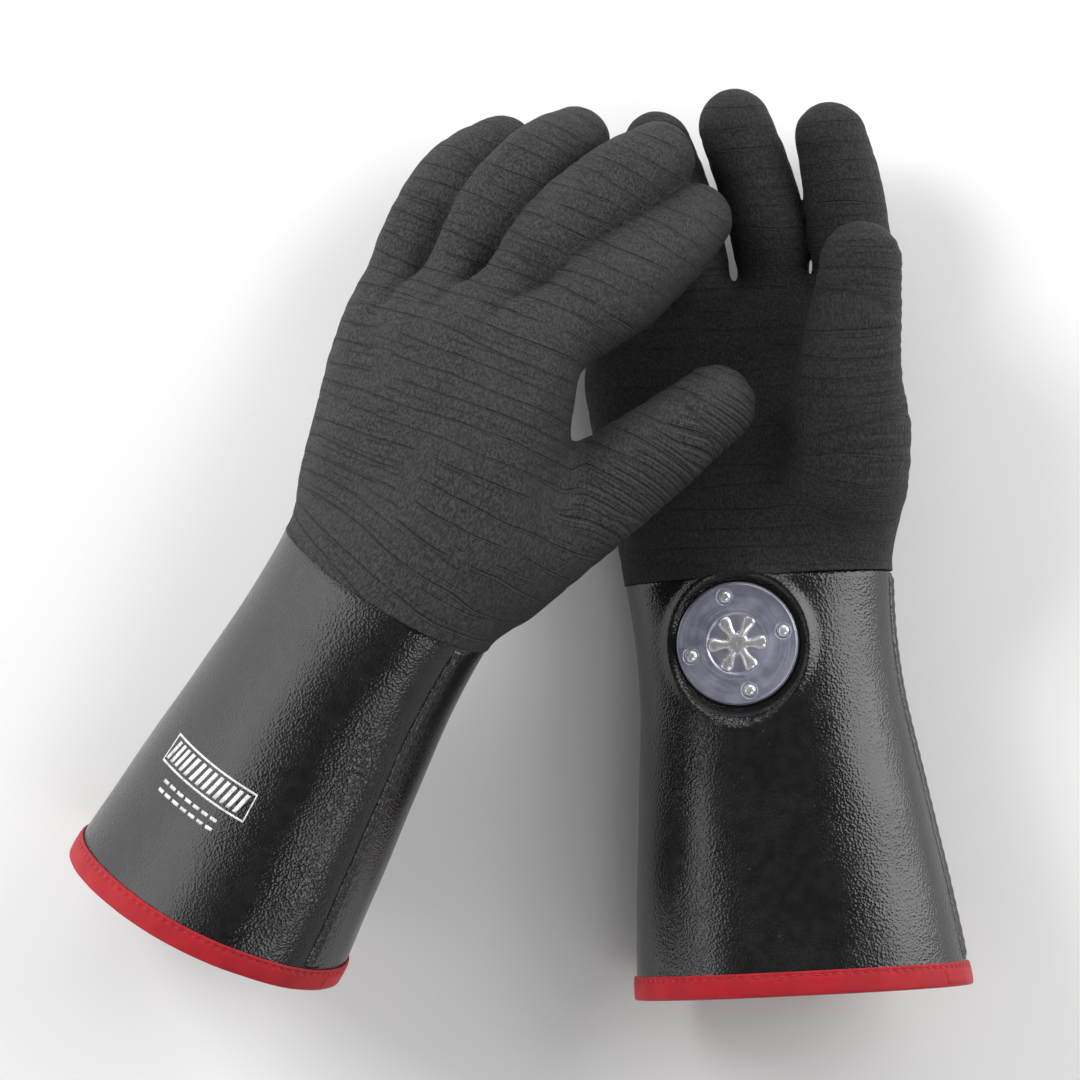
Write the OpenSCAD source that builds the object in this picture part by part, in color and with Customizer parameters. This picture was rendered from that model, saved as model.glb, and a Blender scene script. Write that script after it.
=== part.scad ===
// A pair of insulated gauntlet gloves, millimetres.
// The right glove lies palm up on the table. The left glove rests on it, back of the hand up.
// X is across the gloves, Y runs towards the fingertips and Z is up. The table is Z = 0.

/* [Glove] */
// Length of the cuff from the wrist line to the hem
cuff_length = 160; // [140:5:180]
// Width of the glove at the wrist line
wrist_width = 104; // [98:1:110]
// Depth of the glove at the wrist line, back to palm
wrist_depth = 68; // [64:1:72]
// Width of the cuff at the hem
hem_width = 129.5; // [122:0.5:142]
// Depth of the cuff at the hem
hem_depth = 92; // [84:1:98]
// Length of the palm from the wrist line to the knuckles
palm_length = 106; // [98:1:112]
// Width of the palm at the knuckles
palm_width = 120; // [114:1:124]

/* [Layers] */
// Thickness of the rubber coat
coat_wall = 1.6; // [1.2:0.1:2]
// Thickness of the insulating liner
liner_wall = 2.4; // [1.6:0.1:2.8]
// Clearance between two soft layers
soft_gap = 0.3; // [0.2:0.05:0.4]

/* [Hem] */
// Width of the binding tape on each side of the hem
binding_height = 8.5; // [7:0.5:11]
// Thickness of the binding tape
binding_wall = 0.8; // [0.6:0.1:1.2]
// Distance from the tape's upper edge to its stitch line
stitch_margin = 1.7; // [1.4:0.1:2.5]
// Thickness of the sewing thread
thread_size = 0.5; // [0.4:0.1:0.8]
// Length of the lap where the tape's two ends meet
lap_length = 14; // [10:1:20]
// Width of the raised side seam
seam_width = 5; // [4:0.5:7]
// Height of the raised side seam
seam_height = 0.7; // [0.5:0.1:1]

/* [Badge] */
// Diameter of the metal badge
badge_diameter = 47; // [43:1:48]
// Thickness of the badge plate
badge_thickness = 1.2; // [1:0.1:1.6]
// Distance of the badge's centre from the coat's edge
badge_distance = 26; // [25:0.5:30]
// Offset of the badge towards the little finger
badge_offset = 4; // [0:0.5:6]
// Thickness of the rubber gasket under the badge
gasket_thickness = 1; // [0.8:0.1:1.4]
// Thickness of the backing plate inside the glove
backing_thickness = 0.8; // [0.6:0.1:1.2]
// Diameter of the ring of rivets
rivet_circle = 37; // [34:0.5:38]
// Diameter of a rivet's head
rivet_head = 5; // [4.5:0.1:5.5]
// Diameter of a rivet's shank
rivet_shank = 2.4; // [2:0.1:2.8]
// Diameter of the emblem
emblem_diameter = 22; // [20:0.5:24]
// Depth of the recess that holds the emblem
emblem_recess = 0.6; // [0.4:0.1:0.8]

/* [Print] */
// Width of the printed panel round the cuff
print_width = 66; // [50:1:72]
// Height of the printed panel along the cuff
print_height = 12; // [9:0.5:14]
// Distance of the panel's centre from the wrist line
print_distance = 96; // [90:1:104]
// Thickness of the print
print_thickness = 0.3; // [0.2:0.05:0.4]

/* [Hidden] */
sides = 32;
finger_sides = 12;
rivet_count = 4;
rivet_turn = 12;
fit_gap = 0.1;
badge_seat = 0.25;
overrun = 4.6;
pocket_depth = 5.4;
pocket_fade = 11;
stitch_row = binding_height - stitch_margin;
inner_skin = coat_wall + soft_gap;
inner_face = inner_skin + liner_wall;
head_height = rivet_head * 0.24;
tail_height = 0.8;
spoke_count = 6;
print_row_gap = 4;
dash_height = 5;
dash_count = 7;

// Share of the cuff's length, then share of the flare in width
cuff_rings = [[0, 0], [0.03, -0.03], [0.09, -0.09], [0.16, -0.12], [0.24, -0.1], [0.315, -0.04],
    [0.38, 0.06], [0.5, 0.27], [0.63, 0.47], [0.75, 0.68], [0.88, 0.86], [1, 1]];
// Share of the palm's length, share of its width, share of the wrist's depth, side offset, depth offset, squareness
right_palm = [[0.19, 0.9, 0.97, -1, 0, 2.3], [0.38, 0.95, 0.91, -2, -1, 2.4], [0.57, 0.98, 0.85, -3.5, -2, 2.5],
    [0.75, 1, 0.76, -5, -3, 2.5], [0.9, 0.95, 0.65, -5, -4, 2.5], [1, 0.83, 0.47, -5, -5, 2.4]];
left_palm = [[0.19, 0.89, 0.97, -0.4, 0, 2.3], [0.38, 0.9, 0.91, 0.6, -1, 2.4], [0.57, 0.9, 0.85, 1.2, -2, 2.5],
    [0.75, 0.9, 0.76, 1, -3, 2.5], [0.9, 0.87, 0.65, 0, -4, 2.5], [1, 0.78, 0.47, -1.5, -5, 2.4]];

// Each digit: its root, then bones as [length, splay, lift], then its radius at the root and after each bone
right_digits = [
    [[34, 82, -8], [[39, 13, 0], [27, -4, 6], [23.5, -8, 10]], [16.5, 15, 14.5, 13.7]],
    [[10.5, 84, -8], [[38, 3, 0], [30, -8.5, 10], [27, -16, 14]], [16, 14.3, 13.9, 13.8]],
    [[-16, 82, -6], [[36, -6, 2], [31, -7.5, 10], [24, -14.5, 14]], [16, 15, 13.8, 13.2]],
    [[-40, 74, -3], [[30, -12, 4], [26, -16, 10], [22, -18, 14]], [16, 15, 13.5, 12.5]],
    [[24, 14, 4], [[33, 33, 24], [44, 6.5, 18], [38, 9.5, 0]], [22, 26, 19, 16]]];
left_digits = [
    [[33, 80, -8], [[44, 22, 30], [28, 18, 37], [31, 2, 42]], [17, 22, 17, 13.5]],
    [[10, 84, -8], [[55, 17, 14], [35, 20, 30], [24, 5, 50]], [17, 18, 16, 14]],
    [[-16, 82, -6], [[59.5, 11, 9], [35, 11, 28], [18, 1, 52]], [17, 18, 16, 13.5]],
    [[-38, 75, -3], [[59, 4.5, 7], [27, 3.5, 23], [21, 14, 38]], [16, 17.5, 16, 13]],
    [[29, 10, 17], [[37, 31, 27], [34, 35, 20], [32.5, 28, 27]], [23.5, 21, 18, 15.5]]];

// A glove: side, wrist point, turn of the cuff, turn of the hand, start and end of the wrist's bend,
// coat edge, stretch of the cuff, slant of the hem, drift of the cuff, digits, palm
right_glove = [1, [92.4, -12.5, 35.9], [3, -3.5, -12], [3, 0, -12], 5, 60, 0, 1, 0, 8.8, right_digits, right_palm];
left_glove = [-1, [-47, -8.2, 89.5], [-29.5, 12.35, -45], [-14, -8, -38], -20, 45, -8, 0.97, 9, 0, left_digits,
    left_palm];

function rot_x(a) = [[1, 0, 0], [0, cos(a), -sin(a)], [0, sin(a), cos(a)]];
function rot_y(a) = [[cos(a), 0, sin(a)], [0, 1, 0], [-sin(a), 0, cos(a)]];
function rot_z(a) = [[cos(a), -sin(a), 0], [sin(a), cos(a), 0], [0, 0, 1]];
function turn(v) = rot_z(v[0]) * rot_x(v[1]) * rot_y(v[2]);
function side_of(g) = [[1, 0, 0], [0, 1, 0], [0, 0, g[0]]];
function ease(t) = let (c = min(1, max(0, t))) c * c * (3 - 2 * c);
function angles_at(g, y) = let (k = ease((y - g[4]) / (g[5] - g[4]))) g[2] * (1 - k) + g[3] * k;
function slant_at(g, y) = g[8] * max(0, -y) / cuff_length;
function frame_at(g, y) = rot_z(slant_at(g, y)) * turn(angles_at(g, y)) * side_of(g);
function total(list) = [for (v = list) 1] * list;
// Centre of the glove's section at y, walked along the bend in short steps
function centre_at(g, y) = abs(y) < 0.01 ? g[1] :
    let (n = ceil(abs(y) / 8), s = y / n)
    g[1] + total([for (i = [0:n - 1]) turn(angles_at(g, s * (i + 0.5))) * [0, s, 0]]);
function place(g, p) = centre_at(g, p[1]) + frame_at(g, p[1]) * [p[0], 0, p[2]];
function hand_frame(g) = turn(g[3]) * side_of(g);
function hand_origin(g) = centre_at(g, palm_length) - turn(g[3]) * [0, palm_length, 0];

// Value of a table at x, straight between its rows
function at_row(table, x, i, k) = let (a = table[i], b = table[i + 1])
    x <= b[0] || i >= len(table) - 2 ? a[k] + (b[k] - a[k]) * (x - a[0]) / (b[0] - a[0]) : at_row(table, x, i + 1, k);
function palm_table(g) = concat([[0, wrist_width / palm_width, 1, 0, 0, 2.1]], g[11]);
// Half width, half depth, side offset, depth offset and squareness of the section at y
function section(g, y) = y < 0 ?
    let (t = -y / cuff_length / g[7])
    [(wrist_width + (hem_width - wrist_width) * at_row(cuff_rings, t, 0, 1)) / 2,
     (wrist_depth + (hem_depth - wrist_depth) * t) / 2, g[9] * t, 0, 2.1] :
    let (t = y / palm_length, table = palm_table(g))
    [palm_width * at_row(table, t, 0, 1) / 2, wrist_depth * at_row(table, t, 0, 2) / 2,
     at_row(table, t, 0, 3), at_row(table, t, 0, 4), at_row(table, t, 0, 5)];
function power(c, n) = sign(c) * pow(abs(c), 2 / n);
// The wrist is flat where the badge sits
function badge_y(g) = g[6] - badge_distance;
function badge_level(g) = section(g, badge_y(g))[1] - pocket_depth;
function badge_point(g) = place(g, [-badge_offset, badge_y(g), badge_level(g)]);
function badge_normal(g) = frame_at(g, badge_y(g)) * [0, 0, 1];
function pocket_at(g, y) = ease((badge_diameter / 2 + pocket_fade - abs(y - badge_y(g))) / (pocket_fade - 3));
function skin(g, y, a, inset) =
    let (s = section(g, y), k = pocket_at(g, y))
    let (x = (s[0] - inset) * power(cos(a), s[4]) + s[2], z = (s[1] - inset) * power(sin(a), s[4]) + s[3])
    let (p = place(g, [x, y, z]))
    k <= 0 || sin(a) <= 0 ? p :
    let (n = badge_normal(g), limit = (1 - k) * (pocket_depth + 1) - inset, h = (p - badge_point(g)) * n)
    p - n * max(0, h - limit);

// A ring of material: a closed outline of [y, inset] carried round the glove's section
module ring_shell(g, outline, from = 0, to = 360, steps = sides) {
    whole = to - from >= 360;
    m = len(outline);
    n = whole ? steps : steps + 1;
    points = [for (j = [0:n - 1]) for (q = outline) skin(g, q[0], from + (to - from) * j / steps, q[1])];
    walls = [for (j = [0:steps - 1]) for (i = [0:m - 1])
        let (a = j * m + i, b = j * m + (i + 1) % m, c = ((j + 1) % n) * m + (i + 1) % m, d = ((j + 1) % n) * m + i)
        each outline[i][0] >= outline[(i + 1) % m][0] ? [[a, b, c], [a, c, d]] : [[a, b, d], [b, c, d]]];
    first = [for (i = [0:m / 2 - 2]) each [[i, m - 1 - i, m - 2 - i], [i, m - 2 - i, i + 1]]];
    last = [for (f = first) [for (k = [2:-1:0]) f[k] + (n - 1) * m]];
    faces = whole ? walls : concat(walls, first, last);
    polyhedron(points, g[0] > 0 ? faces : [for (f = faces) [f[2], f[1], f[0]]]);
}

// A solid through a list of rings of points, closed at both ends
module ring_solid(rings, flip) {
    n = len(rings[0]);
    m = len(rings);
    points = concat([for (r = rings) each r], [total(rings[0]) / n, total(rings[m - 1]) / n]);
    faces = concat([for (i = [0:m - 2]) for (j = [0:n - 1])
        let (a = i * n + j, b = i * n + (j + 1) % n)
        each [[a, b, b + n], [a, b + n, a + n]]],
        [for (j = [0:n - 1]) [n * m, (j + 1) % n, j]],
        [for (j = [0:n - 1]) [n * m + 1, (m - 1) * n + j, (m - 1) * n + (j + 1) % n]]);
    polyhedron(points, flip ? [for (f = faces) [f[2], f[1], f[0]]] : faces);
}

function skin_ring(g, y, inset) = [for (j = [0:sides - 1]) skin(g, y, 360 * j / sides, inset)];
// The palm with its knuckle end drawn in, from y = start
module palm_solid(g, start, inset) {
    edge = concat(start < g[6] ? [start] : [], [g[6]], g[6] < 0 ? [0] : []);
    ys = concat(edge, [for (r = g[11]) r[0] * palm_length]);
    tip = palm_length + g[11][5][2] * wrist_depth / 4 - inset * 0.4;
    rings = concat([for (y = ys) skin_ring(g, y, inset)],
        [[for (j = [0:sides - 1]) let (s = section(g, palm_length), a = 360 * j / sides)
            place(g, [(s[0] - inset) * 0.8 * cos(a) + s[2], tip, (s[1] - inset) * 0.45 * sin(a) + s[3]])]]);
    ring_solid(rings, g[0] < 0);
}

function bone(b) = b[0] * [cos(b[2]) * sin(b[1]), cos(b[2]) * cos(b[1]), sin(b[2])];
function joints_of(d) =
    [for (i = 0, p = d[0]; i <= len(d[1]); p = i < len(d[1]) ? p + bone(d[1][i]) : p, i = i + 1) p];
function unit(v) = v / norm(v);
function circle_round(p, dir, r) =
    let (u = unit(cross(dir, [0, 0, 1])), w = cross(dir, u))
    [for (j = [0:finger_sides - 1]) p + r * (cos(360 * j / finger_sides) * u + sin(360 * j / finger_sides) * w)];
// A digit: rings square to the bones with a drawn-in root and a round tip, made in the hand's own frame
module digit_solid(g, d, inset) {
    js = joints_of(d);
    n = len(js) - 1;
    dirs = [for (i = [0:n - 1]) unit(js[i + 1] - js[i])];
    tip_r = d[2][n] - inset;
    root = [circle_round(js[0] - dirs[0] * (d[2][0] * 0.3 - inset), dirs[0], d[2][0] * 0.78 - inset)];
    body = [for (i = [0:n]) circle_round(js[i],
        i == 0 ? dirs[0] : i == n ? dirs[n - 1] : unit(dirs[i - 1] + dirs[i]), d[2][i] - inset)];
    cap = [for (a = [28, 54, 76]) circle_round(js[n] + dirs[n - 1] * tip_r * sin(a), dirs[n - 1], tip_r * cos(a))];
    local = concat(root, body, cap);
    f = hand_frame(g);
    o = hand_origin(g);
    ring_solid([for (r = local) [for (p = r) o + f * p]], g[0] > 0);
}
module hand_volume(g, start, inset) {
    union() {
        palm_solid(g, start, inset);
        for (d = g[10]) digit_solid(g, d, inset);
    }
}

module above_table() {
    intersection() {
        children();
        translate([-400, -400, 0]) cube([800, 800, 400]);
    }
}

// The badge stands on the palm side of the wrist, its axis along the palm's outward direction
module at_badge(g) {
    f = frame_at(g, badge_y(g)) * [[g[0], 0, 0], [0, 1, 0], [0, 0, 1]];
    o = badge_point(g);
    multmatrix([[f[0][0], f[0][1], f[0][2], o[0]], [f[1][0], f[1][1], f[1][2], o[1]],
        [f[2][0], f[2][1], f[2][2], o[2]], [0, 0, 0, 1]]) children();
}
module rivet_places(g) {
    for (i = [0:rivet_count - 1])
        rotate([0, 0, g[0] * (rivet_turn + i * 360 / rivet_count)]) translate([rivet_circle / 2, 0, 0]) children();
}
module rivet_holes(g) {
    at_badge(g) rivet_places(g) translate([0, 0, -12]) cylinder(h = 24, d = rivet_shank + 2 * fit_gap, $fn = 24);
}

// Rings along the cuff, one of them always where the badge's flat ends
function cuff_ys(g, end) =
    let (flat = badge_y(g) - badge_diameter / 2 - 1.5, ys = [for (r = cuff_rings) -r[0] * cuff_length * g[7]])
    concat([for (y = ys) if (y < end - 1 && y > flat + 2) y], [flat], [for (y = ys) if (y < flat - 2) y]);
function coat_outline(g, near, far) =
    let (ys = concat([g[6]], cuff_ys(g, g[6])))
    concat([for (y = ys) [y, near]], [for (i = [len(ys) - 1:-1:0]) [ys[i], far]]);

module hand_coat(g) {
    difference() {
        hand_volume(g, g[6], 0);
        hand_volume(g, g[6] - overrun, coat_wall);
    }
}
module hand_liner(g) {
    difference() {
        hand_volume(g, g[6], inner_skin);
        hand_volume(g, g[6] - overrun, inner_face);
    }
}
module gauntlet_coat(g) {
    difference() {
        ring_shell(g, coat_outline(g, 0, coat_wall));
        rivet_holes(g);
    }
}
module cuff_liner(g) {
    difference() {
        ring_shell(g, coat_outline(g, inner_skin, inner_face));
        rivet_holes(g);
    }
}
function hem_y(g) = -cuff_length * g[7];
// Folded tape: up the outside, round the edge and up the inside
module hem_binding(g) {
    h = hem_y(g);
    out = -fit_gap;
    in = inner_face + fit_gap;
    top = h + binding_height;
    low = h - fit_gap;
    above_table() ring_shell(g, [[top, out - binding_wall], [low - binding_wall * 0.6, out - binding_wall],
        [low - binding_wall, out], [low - binding_wall, in], [low - binding_wall * 0.6, in + binding_wall],
        [top, in + binding_wall], [top, in], [low, in], [low, out], [top, out]]);
}
module hem_stitching(g) {
    y = hem_y(g) + stitch_row;
    out = -2 * fit_gap - binding_wall;
    above_table() ring_shell(g, [[y - thread_size * 0.2, out - thread_size * 0.5],
        [y - thread_size * 0.8, out - thread_size * 0.5], [y - thread_size, out], [y, out]]);
}
// The tape's ends lap beside the side seam
module binding_join(g) {
    y = hem_y(g);
    out = -2.5 * fit_gap - binding_wall;
    half = lap_length / 2 / hem_depth * 2 * 57.3;
    top = y + stitch_row - thread_size * 1.5;
    above_table() ring_shell(g, [[top, out - binding_wall * 0.6], [y + 0.6, out - binding_wall * 0.6],
        [y + 0.6, out], [top, out]], 18 - half, 18 + half, 4);
}
module side_seam(g) {
    ys = concat([g[6] - 1.5], cuff_ys(g, g[6] - 1));
    last = hem_y(g) + binding_height + 0.5;
    run = concat([for (y = ys) if (y > last + 3) y], [last]);
    half = seam_width / wrist_depth * 57.3;
    outline = concat([for (y = run) [y, -seam_height]], [for (i = [len(run) - 1:-1:0]) [run[i], 0]]);
    ring_shell(g, outline, -half, half, 4);
}
module badge_gasket(g) {
    difference() {
        at_badge(g) translate([0, 0, badge_seat]) cylinder(h = gasket_thickness, d = badge_diameter + 1, $fn = 72);
        rivet_holes(g);
    }
}
module badge_plate(g) {
    edge = badge_thickness * 0.3;
    difference() {
        at_badge(g) translate([0, 0, badge_seat + gasket_thickness]) {
            difference() {
                union() {
                    cylinder(h = badge_thickness - edge, d = badge_diameter, $fn = 72);
                    translate([0, 0, badge_thickness - edge])
                        cylinder(h = edge, d1 = badge_diameter, d2 = badge_diameter - 2 * edge, $fn = 72);
                }
                translate([0, 0, badge_thickness - emblem_recess])
                    cylinder(h = emblem_recess + 1, d = emblem_diameter + 1, $fn = 60);
            }
        }
        rivet_holes(g);
    }
}
module badge_emblem(g) {
    bar = emblem_diameter * 0.12;
    reach = emblem_diameter / 2 - bar / 2;
    tall = emblem_recess + 0.5;
    at_badge(g) translate([0, 0, badge_seat + gasket_thickness + badge_thickness - emblem_recess]) {
        cylinder(h = tall, d = emblem_diameter * 0.3, $fn = 36);
        for (i = [0:spoke_count - 1]) rotate([0, 0, i * 360 / spoke_count]) {
            translate([0, -bar / 2, 0]) cube([reach, bar, tall]);
            translate([reach, 0, 0]) cylinder(h = tall, d = bar, $fn = 24);
        }
    }
}
module badge_rivets(g) {
    seat = badge_seat + gasket_thickness + badge_thickness;
    low = -inner_face - badge_seat - backing_thickness;
    dome = head_height;
    ball = (rivet_head * rivet_head / 4 + dome * dome) / 2 / dome;
    at_badge(g) rivet_places(g) {
        translate([0, 0, low - tail_height]) cylinder(h = tail_height, d = rivet_head * 0.9, $fn = 32);
        translate([0, 0, low - 0.01]) cylinder(h = seat - low + 0.02, d = rivet_shank, $fn = 32);
        translate([0, 0, seat]) intersection() {
            cylinder(h = dome, d = rivet_head, $fn = 32);
            translate([0, 0, dome - ball]) sphere(r = ball, $fn = 64);
        }
    }
}
module badge_backing_plate(g) {
    difference() {
        at_badge(g) translate([0, 0, -inner_face - badge_seat - backing_thickness])
            cylinder(h = backing_thickness, d = rivet_circle + rivet_head, $fn = 60);
        rivet_holes(g);
    }
}
// Printed panel and a row of dashes on the back of the cuff
module cuff_print(g) {
    mid = -84;
    y = -print_distance;
    span = print_width / hem_width * 98;
    high = y + print_height / 2;
    under = -2 * fit_gap;
    over = under - print_thickness;
    ring_shell(g, [[high, over], [high - print_height, over], [high - print_height, under], [high, under]],
        mid - span / 2, mid + span / 2, 8);
    low = y - print_height / 2 - print_row_gap;
    step = span * 0.65 / dash_count;
    for (i = [0:dash_count - 1]) {
        a = mid - span * 0.325 + i * step;
        ring_shell(g, [[low, over], [low - dash_height, over], [low - dash_height, under], [low, under]],
            a, a + step * 0.7, 1);
    }
}

module right_hand_coat() { color("dimgray") above_table() hand_coat(right_glove); }
module right_gauntlet_coat() { color("darkslategray") above_table() gauntlet_coat(right_glove); }
module right_hand_liner() { color("wheat") hand_liner(right_glove); }
module right_cuff_liner() { color("bisque") cuff_liner(right_glove); }
module right_hem_binding() { color("crimson") hem_binding(right_glove); }
module right_hem_stitching() { color("firebrick") hem_stitching(right_glove); }
module right_binding_join() { color("red") binding_join(right_glove); }
module right_side_seam() { color("black") side_seam(right_glove); }
module right_badge_gasket() { color("black") badge_gasket(right_glove); }
module right_badge_plate() { color("lightsteelblue") badge_plate(right_glove); }
module right_badge_emblem() { color("gold") badge_emblem(right_glove); }
module right_badge_rivets() { color("white") badge_rivets(right_glove); }
module right_badge_backing_plate() { color("gray") badge_backing_plate(right_glove); }
module right_cuff_print() { color("whitesmoke") above_table() cuff_print(right_glove); }
module left_hand_coat() { color("slategray") hand_coat(left_glove); }
module left_gauntlet_coat() { color("darkslateblue") gauntlet_coat(left_glove); }
module left_hand_liner() { color("wheat") hand_liner(left_glove); }
module left_cuff_liner() { color("bisque") cuff_liner(left_glove); }
module left_hem_binding() { color("crimson") hem_binding(left_glove); }
module left_hem_stitching() { color("firebrick") hem_stitching(left_glove); }
module left_binding_join() { color("red") binding_join(left_glove); }
module left_side_seam() { color("black") side_seam(left_glove); }
module left_badge_gasket() { color("black") badge_gasket(left_glove); }
module left_badge_plate() { color("lightsteelblue") badge_plate(left_glove); }
module left_badge_emblem() { color("gold") badge_emblem(left_glove); }
module left_badge_rivets() { color("white") badge_rivets(left_glove); }
module left_badge_backing_plate() { color("gray") badge_backing_plate(left_glove); }
module left_cuff_print() { color("whitesmoke") cuff_print(left_glove); }

right_hand_coat();
right_gauntlet_coat();
right_hand_liner();
right_cuff_liner();
right_hem_binding();
right_hem_stitching();
right_binding_join();
right_side_seam();
right_badge_gasket();
right_badge_plate();
right_badge_emblem();
right_badge_rivets();
right_badge_backing_plate();
right_cuff_print();
left_hand_coat();
left_gauntlet_coat();
left_hand_liner();
left_cuff_liner();
left_hem_binding();
left_hem_stitching();
left_binding_join();
left_side_seam();
left_badge_gasket();
left_badge_plate();
left_badge_emblem();
left_badge_rivets();
left_badge_backing_plate();
left_cuff_print();
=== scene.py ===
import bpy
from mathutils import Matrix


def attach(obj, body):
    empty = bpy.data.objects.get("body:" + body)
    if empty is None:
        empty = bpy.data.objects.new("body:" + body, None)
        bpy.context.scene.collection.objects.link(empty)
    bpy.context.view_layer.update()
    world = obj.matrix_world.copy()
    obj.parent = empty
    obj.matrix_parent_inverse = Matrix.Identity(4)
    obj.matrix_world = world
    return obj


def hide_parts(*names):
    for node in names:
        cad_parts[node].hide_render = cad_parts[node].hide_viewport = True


bl_info = {
    "name": "Dipped Gauntlet Gloves",
    "version": (1, 0, 0),
    "blender": (4, 5, 0),
    "location": "View3D > Sidebar > Gloves",
    "description": "Builds a pair of dipped rubber gauntlet gloves, piece by piece, round a fixed frame",
    "category": "Add Mesh",
}

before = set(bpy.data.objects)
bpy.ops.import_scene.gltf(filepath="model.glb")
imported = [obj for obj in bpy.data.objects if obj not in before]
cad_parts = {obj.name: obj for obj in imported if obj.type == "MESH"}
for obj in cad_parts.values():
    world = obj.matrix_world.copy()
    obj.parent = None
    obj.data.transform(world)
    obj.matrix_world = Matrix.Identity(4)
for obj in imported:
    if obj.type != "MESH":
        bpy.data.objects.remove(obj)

import math

import bmesh
import bpy
import numpy as np
import openvdb
from bpy.props import FloatProperty, FloatVectorProperty, IntProperty, PointerProperty
from mathutils import Vector

# Shapes are worked out in millimetres and turned into metres when a mesh is made.
CUFF_LENGTH, WRIST_WIDTH, WRIST_DEPTH = 160.0, 104.0, 68.0
HEM_WIDTH, HEM_DEPTH, PALM_LENGTH, PALM_WIDTH = 129.5, 92.0, 106.0, 120.0
BADGE_DISTANCE, BADGE_OFFSET, BADGE_RADIUS, POCKET_DEPTH = 26.0, 4.0, 23.5, 5.4
RIVET_CIRCLE, RIVET_TURN, RIVET_SEAT = 18.5, 12.0, 3.35
# Depths under the skin: the gauntlet's inner face, the linings' outer faces and their inner faces
COAT_DEPTH, LINER_TOP, LINER_FACE = 1.6, 1.9, 4.3
# Lowest height over the table of the skins, of the hands' linings and of the prints
SKIN_LOW, LINING_LOW, PRINT_LOW = 1.2, 2.6, 0.3
COAT_STEP, QUICK_STEP, LINING_STEP = 1.52, 2.2, 2.6
# The distance that a field holds where nothing is near, and how far the palm's own field reaches
FAR, PALM_BAND = 40.0, 18.0
# The hem's tape: its gap to the skins, its stitches' distance from its upper edge, its lap's length and angle
TAPE_GAP, STITCH_INSET, LAP_LENGTH, LAP_ANGLE = 0.1, 1.7, 14.0, 18.0
# The print: its band's middle along the cuff, half height, width and angle, the frame's line, its faces' depths
PRINT_ROW, PRINT_RISE, PRINT_WIDTH, PRINT_ANGLE, PRINT_LINE = -96, 6, 66, -84, 0.8
PRINT_TOP, PRINT_FOOT = -0.16, 0.1
# The side seam: its distances from the hand coat's edge and from the hem
SEAM_START, SEAM_STOP = 1.2, 9.1
# Height of the washer's top over the badge's pocket, and radius of the plate's dish for the rosette
GASKET_TOP, DISH_RADIUS = 1.25, 11.9

# Share of the cuff's length and share of the flare in width
CUFF_RINGS = np.array([
    [0, 0], [0.03, -0.03], [0.09, -0.09], [0.16, -0.12], [0.24, -0.1], [0.315, -0.04], [0.38, 0.06],
    [0.5, 0.27], [0.63, 0.47], [0.75, 0.68], [0.88, 0.86], [1, 1], [1.25, 1.3]])
# Share of the palm's length, share of its width, share of the wrist's depth, side and depth offset, squareness
RIGHT_PALM = np.array([
    [0, 104 / 120, 1, 0, 0, 2.1], [0.19, 0.9, 0.97, -1, 0, 2.3], [0.38, 0.95, 0.91, -2, -1, 2.4],
    [0.57, 0.98, 0.85, -3.5, -2, 2.5], [0.75, 1, 0.76, -5, -3, 2.5], [0.9, 0.95, 0.65, -5, -4, 2.5],
    [1, 0.83, 0.47, -5, -5, 2.4], [1.2, 0.7, 0.3, -5, -6, 2.4]])
LEFT_PALM = np.array([
    [0, 104 / 120, 1, 0, 0, 2.1], [0.19, 0.89, 0.97, -0.4, 0, 2.3], [0.38, 0.9, 0.91, 0.6, -1, 2.4],
    [0.57, 0.9, 0.85, 1.2, -2, 2.5], [0.75, 0.9, 0.76, 1, -3, 2.5], [0.9, 0.87, 0.65, 0, -4, 2.5],
    [1, 0.78, 0.47, -1.5, -5, 2.4], [1.2, 0.66, 0.3, -1.5, -6, 2.4]])
# Each digit: its root, its bones as (length, splay, lift), its radius at the root and after each bone
RIGHT_DIGITS = (
    ((34, 82, -8), ((39, 13, 0), (27, -4, 6), (23.5, -8, 10)), (10.5, 15.9, 15.3, 14)),
    ((10.5, 84, -8), ((38, 3, 0), (30, -8.5, 10), (27, -16, 14)), (10.5, 15.3, 14.9, 14.1)),
    ((-16, 82, -6), ((36, -6, 2), (31, -7.5, 10), (24, -14.5, 14)), (12.5, 15, 13.8, 13.2)),
    ((-40, 74, -3), ((30, -12, 4), (26, -16, 10), (22, -18, 14)), (13, 15, 13.5, 12.5)),
    ((24, 14, 4), ((33, 33, 24), (44, 6.5, 18), (38, 9.5, 0)), (22, 26, 19, 16)))
LEFT_DIGITS = (
    ((33, 80, -8), ((44, 22, 30), (28, 18, 37), (31, 2, 42)), (11, 19.6, 17.4, 14)),
    ((10, 84, -8), ((55, 17, 14), (35, 20, 30), (24, 5, 50)), (9.5, 17.2, 16.2, 14.8)),
    ((-16, 82, -6), ((59.5, 11, 9), (35, 11, 28), (18, 1, 52)), (9.5, 17.2, 16.4, 14.5)),
    ((-38, 75, -3), ((59, 4.5, 7), (27, 3.5, 23), (21, 14, 38)), (13.5, 18.3, 17.4, 14)),
    ((29, 10, 17), ((37, 31, 27), (34, 35, 20), (32.5, 28, 27)), (23.5, 21, 18, 15.5)))
THUMB = 4


# ---------------------------------------------------------------- small numpy tools

def ease(t):
    """Smooth step: 3t^2 - 2t^3 with t held between 0 and 1."""
    t = np.clip(t, 0, 1)
    return t * t * (3 - 2 * t)


def bump_at(x, centre, width):
    """Bell curve: e to the minus ((x - centre) / width)^2."""
    return np.exp(-((x - centre) / width) ** 2)


def round_angles(count):
    """That many angles evenly round a circle, in radians."""
    return np.arange(count) * 2 * math.pi / count


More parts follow.
